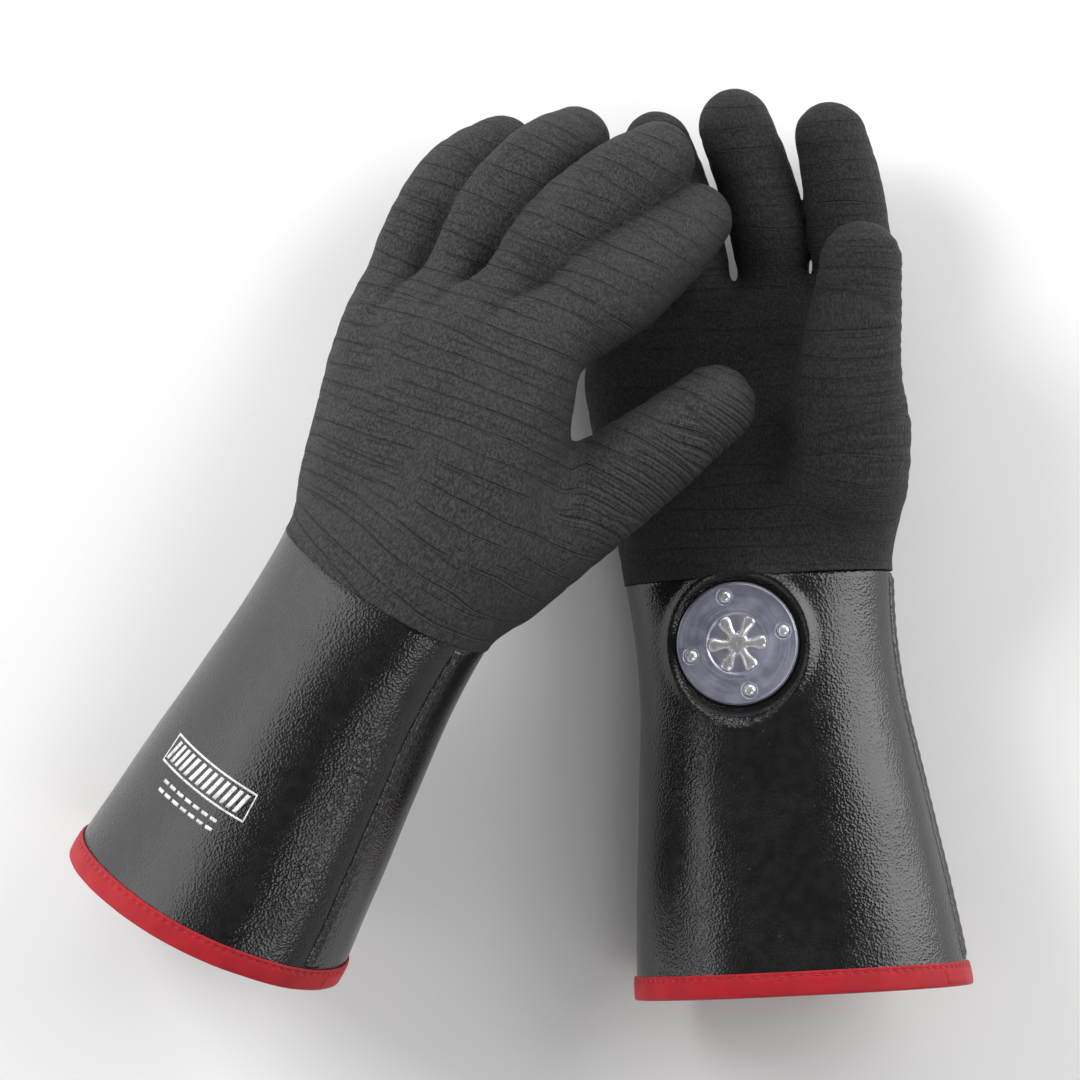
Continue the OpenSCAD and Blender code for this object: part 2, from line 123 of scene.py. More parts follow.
def turns(angles):
    """Rotation matrices Rz(yaw) Rx(pitch) Ry(roll) for rows of angles in degrees."""
    yaw, pitch, roll = np.radians(np.moveaxis(np.asarray(angles, float), -1, 0))
    one, nil = np.ones_like(yaw), np.zeros_like(yaw)

    def matrix(*rows):
        return np.moveaxis(np.array([[*r] for r in rows]), (0, 1), (-2, -1))
    rz = matrix((np.cos(yaw), -np.sin(yaw), nil), (np.sin(yaw), np.cos(yaw), nil), (nil, nil, one))
    rx = matrix((one, nil, nil), (nil, np.cos(pitch), -np.sin(pitch)), (nil, np.sin(pitch), np.cos(pitch)))
    ry = matrix((np.cos(roll), nil, np.sin(roll)), (nil, one, nil), (-np.sin(roll), nil, np.cos(roll)))
    return rz @ rx @ ry


def drift_noise(p, scale, seed):
    """Slow irregular value between about -1 and 1: a sum of eight sine waves in odd directions over p / scale."""
    k = np.arange(8)
    theta, phi = 2.4 * k + seed, np.arccos(np.clip(1 - 2 * (k + 0.5) / 8, -1, 1))
    ways = np.stack([np.sin(phi) * np.cos(theta), np.sin(phi) * np.sin(theta), np.cos(phi)], -1)
    ways *= (1 + 0.23 * k)[:, None]
    waves = np.sin(p @ ways.T * (2 * math.pi / scale) + 5.1 * k + 3 * seed)
    return waves.sum(-1) / 3.4


def soft_table(p, level=SKIN_LOW):
    """Keeps points above the table: a height z under level c becomes c e^((z - c) / c)."""
    p = p.copy()
    low = p[..., 2] < level
    p[..., 2][low] = level * np.exp((p[..., 2][low] - level) / level)
    return p


# ---------------------------------------------------------------- the gloves' skeleton

class Glove:
    """One glove's bent centre line, its section along that line and its skin."""

    def __init__(self, name, side, wrist, cuff_turn, hand_turn, bend, edge, stretch, slant, drift, lean, digits, palm):
        self.name, self.side, self.bend, self.edge, self.lean = name, side, bend, edge, lean
        self.cuff_turn, self.hand_turn = np.array(cuff_turn, float), np.array(hand_turn, float)
        self.stretch, self.slant, self.drift, self.digits, self.palm = stretch, slant, drift, digits, palm
        self.hem = -CUFF_LENGTH * stretch
        self.line_y = np.arange(-200, 280.1, 0.5)
        steps = turns(self.angles(self.line_y[:-1] + 0.25)) @ np.array([0, 0.5, 0])
        line = np.vstack([np.zeros(3), np.cumsum(steps, 0)])
        self.line = line - line[np.argmin(abs(self.line_y))] + np.array(wrist, float)
        self.tables = self.soft_tables()
        self.hand = turns(self.hand_turn) @ np.diag([1, 1, side])
        self.origin = self.centre(PALM_LENGTH) - turns(self.hand_turn) @ np.array([0, PALM_LENGTH, 0])
        self.badge_y = edge - BADGE_DISTANCE
        axes = self.frame(self.badge_y)
        level = self.section(np.array(self.badge_y))[1] - POCKET_DEPTH
        self.badge_normal = axes[:, 2]
        self.badge_point = self.centre(self.badge_y) + axes @ np.array([-BADGE_OFFSET, 0, level])
        self.badge_frame = axes @ np.diag([side, 1, 1])

    def angles(self, y):
        """Cuff angles turning into the hand's over the wrist's bend, by smooth step."""
        k = ease((np.asarray(y, float) - self.bend[0]) / (self.bend[1] - self.bend[0]))[..., None]
        return self.cuff_turn * (1 - k) + self.hand_turn * k

    def frame(self, y):
        """Axes of the section at y, as columns: towards the thumb, along the glove, out of the palm."""
        y = np.asarray(y, float)
        lean = np.zeros(y.shape + (3,))
        lean[..., 0] = self.slant * np.maximum(0, -y) / CUFF_LENGTH
        return turns(lean) @ turns(self.angles(y)) @ np.diag([1.0, 1, self.side])

    def centre(self, y):
        """Point of the centre line at y, read from the walked line."""
        y = np.asarray(y, float)
        return np.stack([np.interp(y, self.line_y, self.line[:, i]) for i in range(3)], -1)

    def soft_tables(self):
        """The section's five values along y, straight between table rows, then blurred by a 4 mm bell."""
        y = self.line_y
        t, u = -y / CUFF_LENGTH / self.stretch, y / PALM_LENGTH
        flare = np.interp(t, CUFF_RINGS[:, 0], CUFF_RINGS[:, 1])
        cuff = [(WRIST_WIDTH + (HEM_WIDTH - WRIST_WIDTH) * flare) / 2,
                (WRIST_DEPTH + (HEM_DEPTH - WRIST_DEPTH) * t) / 2, self.drift * t, 0 * t, 2.1 + 0 * t]
        scale = [PALM_WIDTH / 2, WRIST_DEPTH / 2, 1, 1, 1]
        palm = [np.interp(u, self.palm[:, 0], self.palm[:, i + 1]) * scale[i] for i in range(5)]
        weights = np.exp(-(np.arange(-24, 25) * 0.5 / 4) ** 2)
        rows = []
        for a, b in zip(cuff, palm):
            row = np.pad(np.where(y < 0, a, b), 24, mode="edge")
            rows.append(np.convolve(row, weights / weights.sum(), "valid"))
        return np.array(rows)

    def section(self, y):
        """Half width, half depth, side offset, depth offset and squareness at y."""
        return np.stack([np.interp(y, self.line_y, row) for row in self.tables])

    def folds(self, y, a):
        """Outward swell of the cuff: long soft folds whose height grows from the wrist to the hem."""
        t = np.clip((self.edge - y) / CUFF_LENGTH, 0, 1.05)
        grow = ease(t / 0.5)
        wave = 0.8 * np.sin(3 * a + 0.8 * self.side + 1.2 * t) + 0.5 * np.sin(5 * a + 2.1 - 1.5 * t)
        sides = 1 - 0.85 * np.abs(np.cos(a)) ** 3
        angle = np.degrees(a)
        if self.side > 0:
            pleat = 1.3 * bump_at(angle, 112, 15) - 1.1 * bump_at(angle, 84, 14) + 0.7 * bump_at(angle, 48, 16)
        else:
            pleat = -1.0 * bump_at(angle % 360, 333, 13)
        return grow * (0.5 * wave * sides + pleat) + 0.3 * np.sin(22 * t + 2 * a) * grow * np.sin(2 * a + 1) * sides

    def skin(self, y, a, inset):
        """Point of the skin at y and angle a (radians): half width cos^(2/n) a and half depth sin^(2/n) a, both
        less inset, laid in the section's frame. Round the badge the height over its plane is held under a limit
        by a soft minimum, 0.9 ln(1 + e^(gap / 0.9)) less, and a puffed ring is added outside the badge."""
        y, a, inset = np.broadcast_arrays(np.asarray(y, float), np.asarray(a, float), np.asarray(inset, float))
        hw, hd, ox, oz, n = self.section(y)
        swell = self.folds(y, a)
        c, s = np.cos(a), np.sin(a)
        x = (hw - inset + swell) * np.sign(c) * abs(c) ** (2 / n) + ox
        z = (hd - inset + swell) * np.sign(s) * abs(s) ** (2 / n) + oz
        f = self.frame(y)
        p = self.centre(y) + f[..., 0] * x[..., None] + f[..., 2] * z[..., None]
        rel = p - self.badge_point
        height = rel @ self.badge_normal
        r = np.linalg.norm(rel - height[..., None] * self.badge_normal, axis=-1)
        k = ease((BADGE_RADIUS + 7.5 - r) / 6)
        limit = (1 - k) * (POCKET_DEPTH + 1) - inset + 40 * (1 - ease((k - 0.001) * 1000))
        sunk = 0.9 * np.log1p(np.exp(np.clip((height - limit) / 0.9, -30, 30)))
        puff = 2.1 * bump_at(r, 27.4, 2.5) * ease((46 - r) / 10)
        front = (s > 0) & (np.abs(y - self.badge_y) < 60)
        shift = np.where(front, puff - sunk * (k > 0), 0)
        return p + shift[..., None] * self.badge_normal


RIGHT = Glove("right", 1, wrist=(92.4, -12.5, 35.9), cuff_turn=(3, -3.5, -12), hand_turn=(3, 0, -12), bend=(5, 60),
              edge=0, stretch=1, slant=0, drift=8.8, lean=0.02, digits=RIGHT_DIGITS, palm=RIGHT_PALM)
LEFT = Glove("left", -1, wrist=(-47, -8.2, 89.5), cuff_turn=(-29.5, 12.35, -45), hand_turn=(-14, -8, -38),
             bend=(-20, 45), edge=-8, stretch=0.97, slant=9, drift=0, lean=0.17, digits=LEFT_DIGITS, palm=LEFT_PALM)
GLOVES = (RIGHT, LEFT)


# ---------------------------------------------------------------- meshes

def put_marks(mesh, marks):
    """Stores values by name on the mesh's points, rows of three as vectors and the rest as numbers."""
    for key, values in marks.items():
        vector = np.ndim(values) == 2
        layer = mesh.attributes.new(key, "FLOAT_VECTOR" if vector else "FLOAT", "POINT")
        layer.data.foreach_set("vector" if vector else "value", np.ravel(values).astype(np.float32))


def make_piece(glove, name, points, faces, node, finish, marks=None, wall=None):
    """A mesh object from millimetre points and a list of face arrays, riding on its glove in place of one node.
    A wall thickness in metres grows inwards from the surface."""
    mesh = bpy.data.meshes.new(f"{glove.name}_{name}")
    rows = [row for block in faces for row in (block.tolist() if isinstance(block, np.ndarray) else [block])]
    mesh.from_pydata((np.asarray(points).reshape(-1, 3) / 1000).tolist(), [], rows)
    put_marks(mesh, marks or {})
    mesh.polygons.foreach_set("use_smooth", [True] * len(mesh.polygons))
    mesh.materials.append(finish_of(finish))
    mesh.validate()
    mesh.update()
    piece = bpy.data.objects.new(f"{glove.name}_{name}", mesh)
    bpy.context.scene.collection.objects.link(piece)
    if wall:
        solid = piece.modifiers.new("wall", "SOLIDIFY")
        solid.thickness, solid.offset = wall, -1
    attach(piece, f"{glove.name}_glove")
    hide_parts(f"{glove.name}_{node}")
    return piece


def grid_faces(rows, columns, wrap_rows=False, wrap_columns=True, flip=False):
    """Four-sided faces of a grid of points, joined round where wrapped."""
    i = np.arange(rows if wrap_rows else rows - 1)[:, None]
    j = np.arange(columns if wrap_columns else columns - 1)[None, :]
    a, b = i * columns + j, i * columns + (j + 1) % columns
    c, d = ((i + 1) % rows) * columns + (j + 1) % columns, ((i + 1) % rows) * columns + j
    faces = np.stack([a + 0 * j, b + 0 * i, c, d], -1).reshape(-1, 4)
    return faces[:, ::-1] if flip else faces


def ring(glove, y, inset, columns):
    """A closed outline of rows (y, inset) carried round the whole skin, starting up the outside. The grid wraps
    both ways. The inset may differ from column to column."""
    y, inset = np.asarray(y, float)[:, None], np.asarray(inset, float)
    inset = inset[:, None] if inset.ndim == 1 else inset
    points = soft_table(glove.skin(y, round_angles(columns)[None, :], inset))
    return points, [grid_faces(len(y), columns, wrap_rows=True, flip=glove.side < 0)]


def slab(glove, y, a, top, under, rising):
    """A patch of the skin between two insets over a grid of y and a, closed by a wall round its border. Rising
    says that y grows from row to row."""
    rows, columns = np.broadcast(y, a).shape
    n = rows * columns
    points = np.concatenate([glove.skin(y, a, inset).reshape(-1, 3) for inset in (top, under)])
    sheet = grid_faces(rows, columns, wrap_columns=False)
    i, j = np.arange(rows - 1), np.arange(columns - 1)
    loop = np.concatenate([j, (i + 1) * columns - 1, n - 1 - j, (rows - 1) * columns - i * columns])
    following = np.roll(loop, -1)
    wall = np.stack([loop, loop + n, following + n, following], -1)
    faces = np.concatenate([sheet, sheet[:, ::-1] + n, wall])
    return points, faces[:, ::-1] if rising == (glove.side > 0) else faces


# ---------------------------------------------------------------- the hand as a field of distances

def bones_of(digit):
    """Points of a digit's joints in the hand's own axes: each bone is its length along (splay, lift)."""
    points = [np.array(digit[0], float)]
    for length, splay, lift in digit[1]:
        s, u = math.radians(splay), math.radians(lift)
        way = np.array([math.cos(u) * math.sin(s), math.cos(u) * math.cos(s), math.sin(u)])
        points.append(points[-1] + length * way)
    return np.array(points)


def bent(joints, radii):
    """Joints and radii after two rounds of corner cutting, three quarters to one quarter, with the ends kept."""
    rows = np.column_stack([joints, radii])
    for _ in range(2):
        a, b = rows[:-1], rows[1:]
        cut = np.stack([0.75 * a + 0.25 * b, 0.25 * a + 0.75 * b], 1).reshape(-1, 4)
        rows = np.vstack([rows[:1], cut[1:-1], rows[-1:]])
    return rows[:, :3], rows[:, 3]


def cone_distance(p, a, b, r1, r2):
    """Distance from points p to a bone with round ends: the nearer of two spheres or the cone that touches both."""
    ba = b - a
    l2, rr = ba @ ba, r1 - r2
    a2 = l2 - rr * rr
    pa = p - a
    y = pa @ ba
    z = y - l2
    x2 = ((pa * l2 - y[..., None] * ba) ** 2).sum(-1)
    y2, z2 = y * y * l2, z * z * l2
    k = np.sign(rr) * rr * rr * x2
    body = (np.sqrt(np.maximum(x2 * a2 / l2, 0)) + y * rr) / l2 - r1
    end = np.where(np.sign(y) * a2 * y2 < k, np.sqrt(x2 + y2) / l2 - r1, body)
    return np.where(np.sign(z) * a2 * z2 > k, np.sqrt(x2 + z2) / l2 - r2, end)


def melt(a, b, k):
    """Smooth minimum: the smaller value, less h^2 k / 4 where the two are within k of each other."""
    h = np.maximum(k - abs(a - b), 0) / k
    return np.minimum(a, b) - h * h * k / 4


def palm_shell(glove):
    """Closed surface of the palm and wrist, a grid of the skin with its knuckle end drawn in."""
    columns = 120
    a = round_angles(columns)
    ys = np.arange(glove.edge - 16, PALM_LENGTH + 0.1, 2.0)
    hw, hd, ox, oz, n = glove.section(np.array(PALM_LENGTH))
    rows = [glove.skin(ys[:, None], a[None, :], 0.0)]
    for out, share, deep in ((0.35, 0.95, 0.9), (0.7, 0.86, 0.7), (1.0, 0.7, 0.42)):
        y = PALM_LENGTH + out * 0.47 * WRIST_DEPTH / 4
        f = glove.frame(y)
        x, z = hw * share * np.cos(a) + ox, hd * deep * np.sin(a) + oz
        rows.append((glove.centre(y) + np.outer(x, f[:, 0]) + np.outer(z, f[:, 2]))[None])
    points = np.concatenate(rows)
    flat = np.vstack([points.reshape(-1, 3), points[0].mean(0), points[-1].mean(0)])
    quads = grid_faces(len(points), columns, flip=glove.side < 0)
    i = np.arange(columns)
    last = (len(points) - 1) * columns
    caps = np.vstack([np.stack([np.full(columns, len(flat) - 2), (i + 1) % columns, i], -1),
                      np.stack([np.full(columns, len(flat) - 1), last + i, last + (i + 1) % columns], -1)])
    return flat, np.vstack([quads[:, [0, 1, 2]], quads[:, [0, 2, 3]], caps[:, ::-1] if glove.side < 0 else caps])


def valleys(glove, p):
    """Depth of the valleys that run on from between the fingers over the back of the hand: a bell curve across each
    line from the middle of two neighbours' roots to the middle of their first joints."""
    local = (p - glove.origin) @ glove.hand
    depth = np.zeros(p.shape[:-1])
    for left, right in zip(glove.digits[:3], glove.digits[1:4]):
        a, b = ((bones_of(left)[k] + bones_of(right)[k])[:2] / 2 for k in (0, 1))
        t = np.clip(((local[..., :2] - a) @ (b - a)) / ((b - a) @ (b - a)), 0, 1)
        away = np.linalg.norm(local[..., :2] - a - t[..., None] * (b - a), axis=-1)
        depth += 2.6 * ease((t - 0.05) / 0.45) * bump_at(away, 0, 3.2)
    return depth * ease(-local[..., 2] / 10)


def hand_field(glove, step):
    """Distances to the hand on a grid of the given step: the palm's closed surface melted with the fingers and,
    more broadly, with the thumb, less deep in the valleys. Returns the field and its lowest corner."""
    shell, triangles = palm_shell(glove)
    chains = [glove.origin + bones_of(d) @ glove.hand.T for d in glove.digits]
    ends = np.vstack(chains + [shell])
    low = np.floor((ends.min(0) - 27) / step) * step
    size = np.ceil((ends.max(0) + 27 - low) / step).astype(int) + 1
    level = openvdb.FloatGrid.createLevelSetFromPolygons(
        shell.astype(np.float32), triangles=triangles.astype(np.uint32),
        transform=openvdb.createLinearTransform(voxelSize=step), halfWidth=PALM_BAND / step)
    palm = np.full(size, PALM_BAND, np.float32)
    level.copyToArray(palm, ijk=tuple(int(v) for v in np.round(low / step)))
    axes = [low[i] + np.arange(size[i]) * step for i in range(3)]
    fingers, thumb = np.full(size, FAR, np.float32), None
    for number, (digit, chain) in enumerate(zip(glove.digits, chains)):
        chain, radii = bent(chain, digit[2])
        one = np.full(size, FAR, np.float32)
        reach = max(radii) + 13
        for i in range(len(radii) - 1):
            lo = (np.minimum(chain[i], chain[i + 1]) - reach - low) / step
            hi = (np.maximum(chain[i], chain[i + 1]) + reach - low) / step
            cut = tuple(slice(max(0, int(lo[k])), max(0, int(hi[k]))) for k in range(3))
            p = np.stack(np.meshgrid(*[axes[k][cut[k]] for k in range(3)], indexing="ij"), -1)
            one[cut] = melt(one[cut], cone_distance(p, chain[i], chain[i + 1], radii[i], radii[i + 1]), 1.0)
        if number == THUMB:
            thumb = one
        else:
            fingers = melt(fingers, one, 1.2)
    p = np.stack(np.meshgrid(*axes, indexing="ij"), -1)
    return melt(melt(palm, fingers, 6.5) + valleys(glove, p), thumb, 12.0), low


def vertex_normals(points, quads):
    """Outward directions at the points: the sum of the faces' crossed diagonals, made unit length."""
    crossed = np.cross(points[quads[:, 2]] - points[quads[:, 0]], points[quads[:, 3]] - points[quads[:, 1]])
    normals = np.zeros_like(points)
    for axis in range(3):
        for corner in range(4):
            normals[:, axis] += np.bincount(quads[:, corner], crossed[:, axis], len(points))
    return normals / np.maximum(np.linalg.norm(normals, axis=1, keepdims=True), 1e-9)


def neighbour_sum(a, b, values, count):
    """For each of count points, the sum of the values at the other ends of its edges (a, b)."""
    return np.bincount(a, values[b], count) + np.bincount(b, values[a], count)


def hand_surface(glove, step, level):
    """The surface where the hand's field has that value, evened out by three rounds of going halfway to the
    neighbours' mean: points, four-sided faces and normals that point outwards."""
    field, low = hand_field(glove, step)
    grid = openvdb.FloatGrid()
    grid.background = FAR
    grid.copyFromArray(np.ascontiguousarray(field, dtype=np.float32))
    points, quads = grid.convertToQuads(isovalue=level)
    points = np.asarray(points, float) * step + low
    quads = np.asarray(quads, int)
    a, b = np.vstack([quads[:, [k, (k + 1) % 4]] for k in range(4)]).T
    count = (np.bincount(a, minlength=len(points)) + np.bincount(b, minlength=len(points)))[:, None]
    for _ in range(3):
        total = np.stack([neighbour_sum(a, b, points[:, axis], len(points)) for axis in range(3)], -1)
        points = points + 0.5 * (total / count - points)
    normals = vertex_normals(points, quads)
    if (normals * (points - points.mean(0))).sum() < 0:
        quads, normals = quads[:, ::-1], -normals
    return points, quads, normals


def cut_at_edge(glove, points, quads):
    """Cuts a surface square to the glove at the hand coat's edge and keeps the hand's side."""
    mesh = bpy.data.meshes.new("cut")
    mesh.from_pydata(points.tolist(), [], quads.tolist())
    work = bmesh.new()
    work.from_mesh(mesh)
    bmesh.ops.bisect_plane(work, geom=work.verts[:] + work.edges[:] + work.faces[:], dist=0.05,
                           plane_co=Vector(glove.centre(glove.edge)), plane_no=Vector(glove.frame(glove.edge)[:, 1]),
                           clear_inner=True)
    work.to_mesh(mesh)
    work.free()
    out = np.zeros(len(mesh.vertices) * 3)
    mesh.vertices.foreach_get("co", out)
    faces = [list(f.vertices) for f in mesh.polygons]
    bpy.data.meshes.remove(mesh)
    return out.reshape(-1, 3), faces


def along_hand(glove, p):
    """Where each point lies in the glove: local x and z, distance along the glove, and how far it is on the thumb.
    The distance along is the centre line's, drawn partly to the digits' own bones."""
    local = (p - glove.origin) @ glove.hand
    y = local[:, 1]
    for _ in range(4):
        y = y + ((p - glove.centre(y)) * glove.frame(y)[..., 1]).sum(-1)
    f = glove.frame(y)
    rel = p - glove.centre(y)
    x, z = (rel * f[..., 0]).sum(-1), (rel * f[..., 2]).sum(-1)
    best, run, thumb = np.full(len(p), 1e9), y.copy(), np.zeros(len(p))
    for number, digit in enumerate(glove.digits):
        joints, radii = bones_of(digit), digit[2]
        start = joints[0][1]
        for i in range(3):
            bone = joints[i + 1] - joints[i]
            length = np.linalg.norm(bone)
            t = np.clip(((local - joints[i]) @ bone) / length ** 2, 0, 1.3)
            radius = radii[i] + (radii[i + 1] - radii[i]) * np.minimum(t, 1)
            d = np.linalg.norm(local - joints[i] - t[:, None] * bone, axis=1) - radius
            nearer = d < best
            best = np.where(nearer, d, best)
            run = np.where(nearer, start + t * length, run)
            thumb = np.where(nearer, float(number == THUMB), thumb)
            start += length
    root = ease((run - np.where(thumb > 0, 32, 84)) / 22) * ease((4 - best) / 5)
    share = root * np.where(thumb > 0, 0.45, 0.15)
    return x, y * (1 - share) + run * share, z, thumb * root


# ---------------------------------------------------------------- materials

class Nodes:
    """Short names for adding shader nodes to a tree. Inputs are values or other nodes' outputs."""

    def __init__(self, tree):
        self.tree = tree

    def put(self, socket, value):
        if isinstance(value, bpy.types.NodeSocket):
            self.tree.links.new(value, socket)
        else:
            socket.default_value = value

    def add(self, kind, inputs=None, out=0, **settings):
        """A node with its settings and inputs, given back as the output asked for."""
        node = self.tree.nodes.new("ShaderNode" + kind)
        for key, value in settings.items():
            setattr(node, key, value)
        for key, value in (inputs or {}).items():
            self.put(node.inputs[key], value)
        return node.outputs[out]

    def math(self, operation, a, b=0.0):
        return self.add("Math", {0: a, 1: b}, operation=operation)

    def plus(self, a, b):
        return self.math("ADD", a, b)

    def less(self, a, b):
        return self.math("SUBTRACT", a, b)

    def times(self, a, b):
        return self.math("MULTIPLY", a, b)

    def most(self, a, b):
        return self.math("MAXIMUM", a, b)

    def ramp(self, value, low, high, to_low=0.0, to_high=1.0):
        return self.add("MapRange", {"Value": value, "From Min": low, "From Max": high, "To Min": to_low,
                                     "To Max": to_high}, interpolation_type="SMOOTHSTEP")

    def blend(self, factor, a, b):
        return self.add("Mix", {0: factor, 6: a, 7: b}, 2, data_type="RGBA", blend_type="MIX")

    def tones(self, factor, colour, low, high):
        """From one strength of a colour to another."""
        return self.blend(factor, shade(colour, low), shade(colour, high))

    def tint(self, base, factor, colour, strength):
        """The base drawn to a strength of a colour."""
        return self.blend(factor, base, shade(colour, strength))

    def mark(self, name, out="Fac"):
        return self.add("Attribute", None, out, attribute_name=name)

    def place(self):
        return self.add("TexCoord", None, "Object")

    def stretched(self, where, scale, **others):
        return self.add("Mapping", {"Vector": where, "Scale": scale, **others})

    def noise(self, where, scale, detail=2.0, rough=0.5, distort=0.0):
        return self.add("TexNoise", {"Vector": where, "Scale": scale, "Detail": detail, "Roughness": rough,
                                     "Distortion": distort})

    def wave(self, where, scale, distort, detail, way):
        return self.add("TexWave", {"Vector": where, "Scale": scale, "Distortion": distort, "Detail": detail}, "Fac",
                        bands_direction=way)

    def bump(self, height, distance, strength):
        return self.add("Bump", {"Height": height, "Distance": distance, "Strength": strength})


class Finish(Nodes):
    """A material with one Principled shader, its plain values on the shader's own sockets."""

    def __init__(self, name, **sockets):
        self.material = bpy.data.materials.new(name)
        self.material.use_nodes = True
        super().__init__(self.material.node_tree)
        self.feed(**sockets)

    def feed(self, **sockets):
        """Sets or links the shader's sockets, named with low lines for spaces, and gives the material back."""
        shader = self.tree.nodes["Principled BSDF"]
        for key, value in sockets.items():
            self.put(shader.inputs[key.replace("_", " ")], value)
        return self.material


def shade(colour, strength):
    """A colour times a strength, with full alpha."""
    return tuple(c * strength for c in colour) + (1.0,)


def hand_rubber(colours):
    """Matt crinkled rubber: a crepe grain, thin broken creases across the glove with painted shade in each line and a
    painted highlight on the lip beside it, closer ripples where the thumb bends, and painted shade on the palm side
    and in hollows, which leaves the back of the hand paler."""
    m = Finish("crinkled rubber", IOR=1.42, Specular_IOR_Level=0.38)
    flow, ripple, lit_and_creased = m.mark("flow", "Vector"), m.mark("ripple"), m.mark("lit_and_creased")
    along = m.add("SeparateXYZ", {"Vector": flow}, "Y")
    depth = m.ramp(lit_and_creased, 0.0, 1.0, 0.45, 1.0)
    grain = m.noise(m.stretched(flow, (1.0, 0.6, 1.0)), 1250, 3, 0.7)
    crepe = m.noise(m.stretched(flow, (1.0, 0.4, 1.0)), 430, 2, 0.6, 0.3)

    def creases(pitch, sway, width, part, seed):
        """Lines a pitch apart that wander by a share of it, of even width and broken into lengths, and the lip beside
        each line, for a small rise and a painted highlight."""
        shifted = m.stretched(flow, (0.3, 1.0, 0.3), Location=(seed, 0, 0))
        warp = m.times(m.less(m.noise(shifted, 60, 2, 0.4), 0.5), sway)
        phase = m.math("FRACT", m.plus(m.math("DIVIDE", along, pitch), warp))
        lengths = m.ramp(m.noise(m.stretched(shifted, (1.6, 1.0, 1.6)), 85, 1), part, part + 0.1)
        for middle in (0.5, 0.5 - width * 1.9):
            away = m.math("ABSOLUTE", m.less(phase, middle))
            yield m.times(m.ramp(away, width * 0.3, width, 1.0, 0.0), lengths)
    line, lip = creases(0.0078, 1.0, 0.034, 0.34, 0.0)
    fine, fine_lip = creases(0.0043, 1.6, 0.05, 0.5, 0.4)
    close, close_lip = creases(0.0031, 0.9, 0.16, 0.1, 0.8)
    marks = m.most(m.times(m.most(line, m.times(fine, 0.55)), depth), m.times(close, ripple))
    lips = m.most(m.times(m.most(lip, m.times(fine_lip, 0.4)), depth), m.times(close_lip, ripple))
    base = m.tones(m.ramp(m.noise(flow, 34, 3, 0.6), 0.3, 0.7), colours.hand, 0.66, 1.0)
    base = m.tint(base, m.ramp(grain, 0.4, 0.62), colours.hand, 1.9)
    # Painted highlight: the lip beside each crease is made paler in the colour, besides its small rise in the bump.
    base = m.tint(base, m.times(lips, 0.5), colours.hand, 2.3)
    # Painted shade: the crease and ripple lines are darkened in the colour, besides being cut in by the bump.
    base = m.tint(base, m.times(marks, 0.5), colours.hand, 0.35)
    # Painted shade: where the mask is low, on the palm side and in hollows, the colour is drawn 40% towards black.
    base = m.blend(lit_and_creased, m.tint(base, 0.4, colours.hand, 0.0), base)
    height = m.plus(m.plus(m.times(grain, 0.6), m.times(crepe, 0.6)), m.times(lips, 0.35))
    height = m.less(height, m.times(marks, 0.8))
    return m.feed(Base_Color=base, Roughness=m.ramp(grain, 0.2, 0.8, 0.78, 0.6), Normal=m.bump(height, 0.0013, 1.0))


def cuff_rubber(colours):
    """Glossy grained rubber: an orange-peel grain of uneven depth with tiny pits and slightly duller patches."""
    m = Finish("grained gloss rubber", IOR=1.5, Specular_IOR_Level=0.7)
    place = m.place()
    dots = m.add("TexVoronoi", {"Vector": place, "Scale": 1050.0, "Smoothness": 0.5}, "Distance", feature="SMOOTH_F1")
    swell = m.noise(place, 210, 2, 0.5)
    depth = m.ramp(m.noise(place, 26, 2), 0.35, 0.65, 0.6, 1.2)
    cell = m.add("TexVoronoi", {"Vector": place, "Scale": 260.0}, "Distance")
    pits = m.times(m.ramp(cell, 0.04, 0.13, 1.0, 0.0), m.ramp(m.noise(place, 75, 1), 0.55, 0.62))
    height = m.times(m.plus(m.times(m.times(dots, 1.1), 0.8), m.times(swell, 0.16)), depth)
    height = m.less(height, m.times(pits, 0.5))
    return m.feed(Base_Color=m.tones(m.ramp(swell, 0.3, 0.7), colours.cuff, 0.8, 1.25),
                  Roughness=m.ramp(m.noise(place, 48, 3, 0.6), 0.3, 0.75, 0.17, 0.27),
                  Normal=m.bump(height, 0.0005, 0.42))


def woven_tape(colours):
    """Red binding tape: a fine slanting weave with a satin sheen and darker dents."""
    m = Finish("red satin tape", Sheen_Weight=0.08, Sheen_Roughness=0.4, Specular_IOR_Level=0.35)
    place = m.place()
    slanting = m.add("Mapping", {"Vector": place, "Rotation": (0.3, 0.4, 0.8)})
    weave = m.times(*[m.wave(slanting, 640.0, 0.6, 1.0, way) for way in ("X", "Y")])
    fade = m.noise(place, 90, 3, 0.6)
    base = m.tones(m.ramp(fade, 0.3, 0.7), colours.tape, 0.86, 1.1)
    return m.feed(Base_Color=m.tint(base, m.times(weave, 0.3), colours.tape, 1.35),
                  Roughness=m.ramp(weave, 0.0, 1.0, 0.62, 0.48), Normal=m.bump(m.plus(weave, fade), 0.00018, 0.6))


def spun_thread(colours):
    """Sewing thread with a twist."""
    m = Finish("red twisted thread", Sheen_Weight=0.3)
    twist = m.wave(m.place(), 900.0, 1.0, 2.0, "DIAGONAL")
    return m.feed(Base_Color=m.tones(twist, colours.thread, 0.7, 1.15), Roughness=m.ramp(twist, 0, 1, 0.6, 0.45),
                  Normal=m.bump(twist, 0.0001, 0.5))


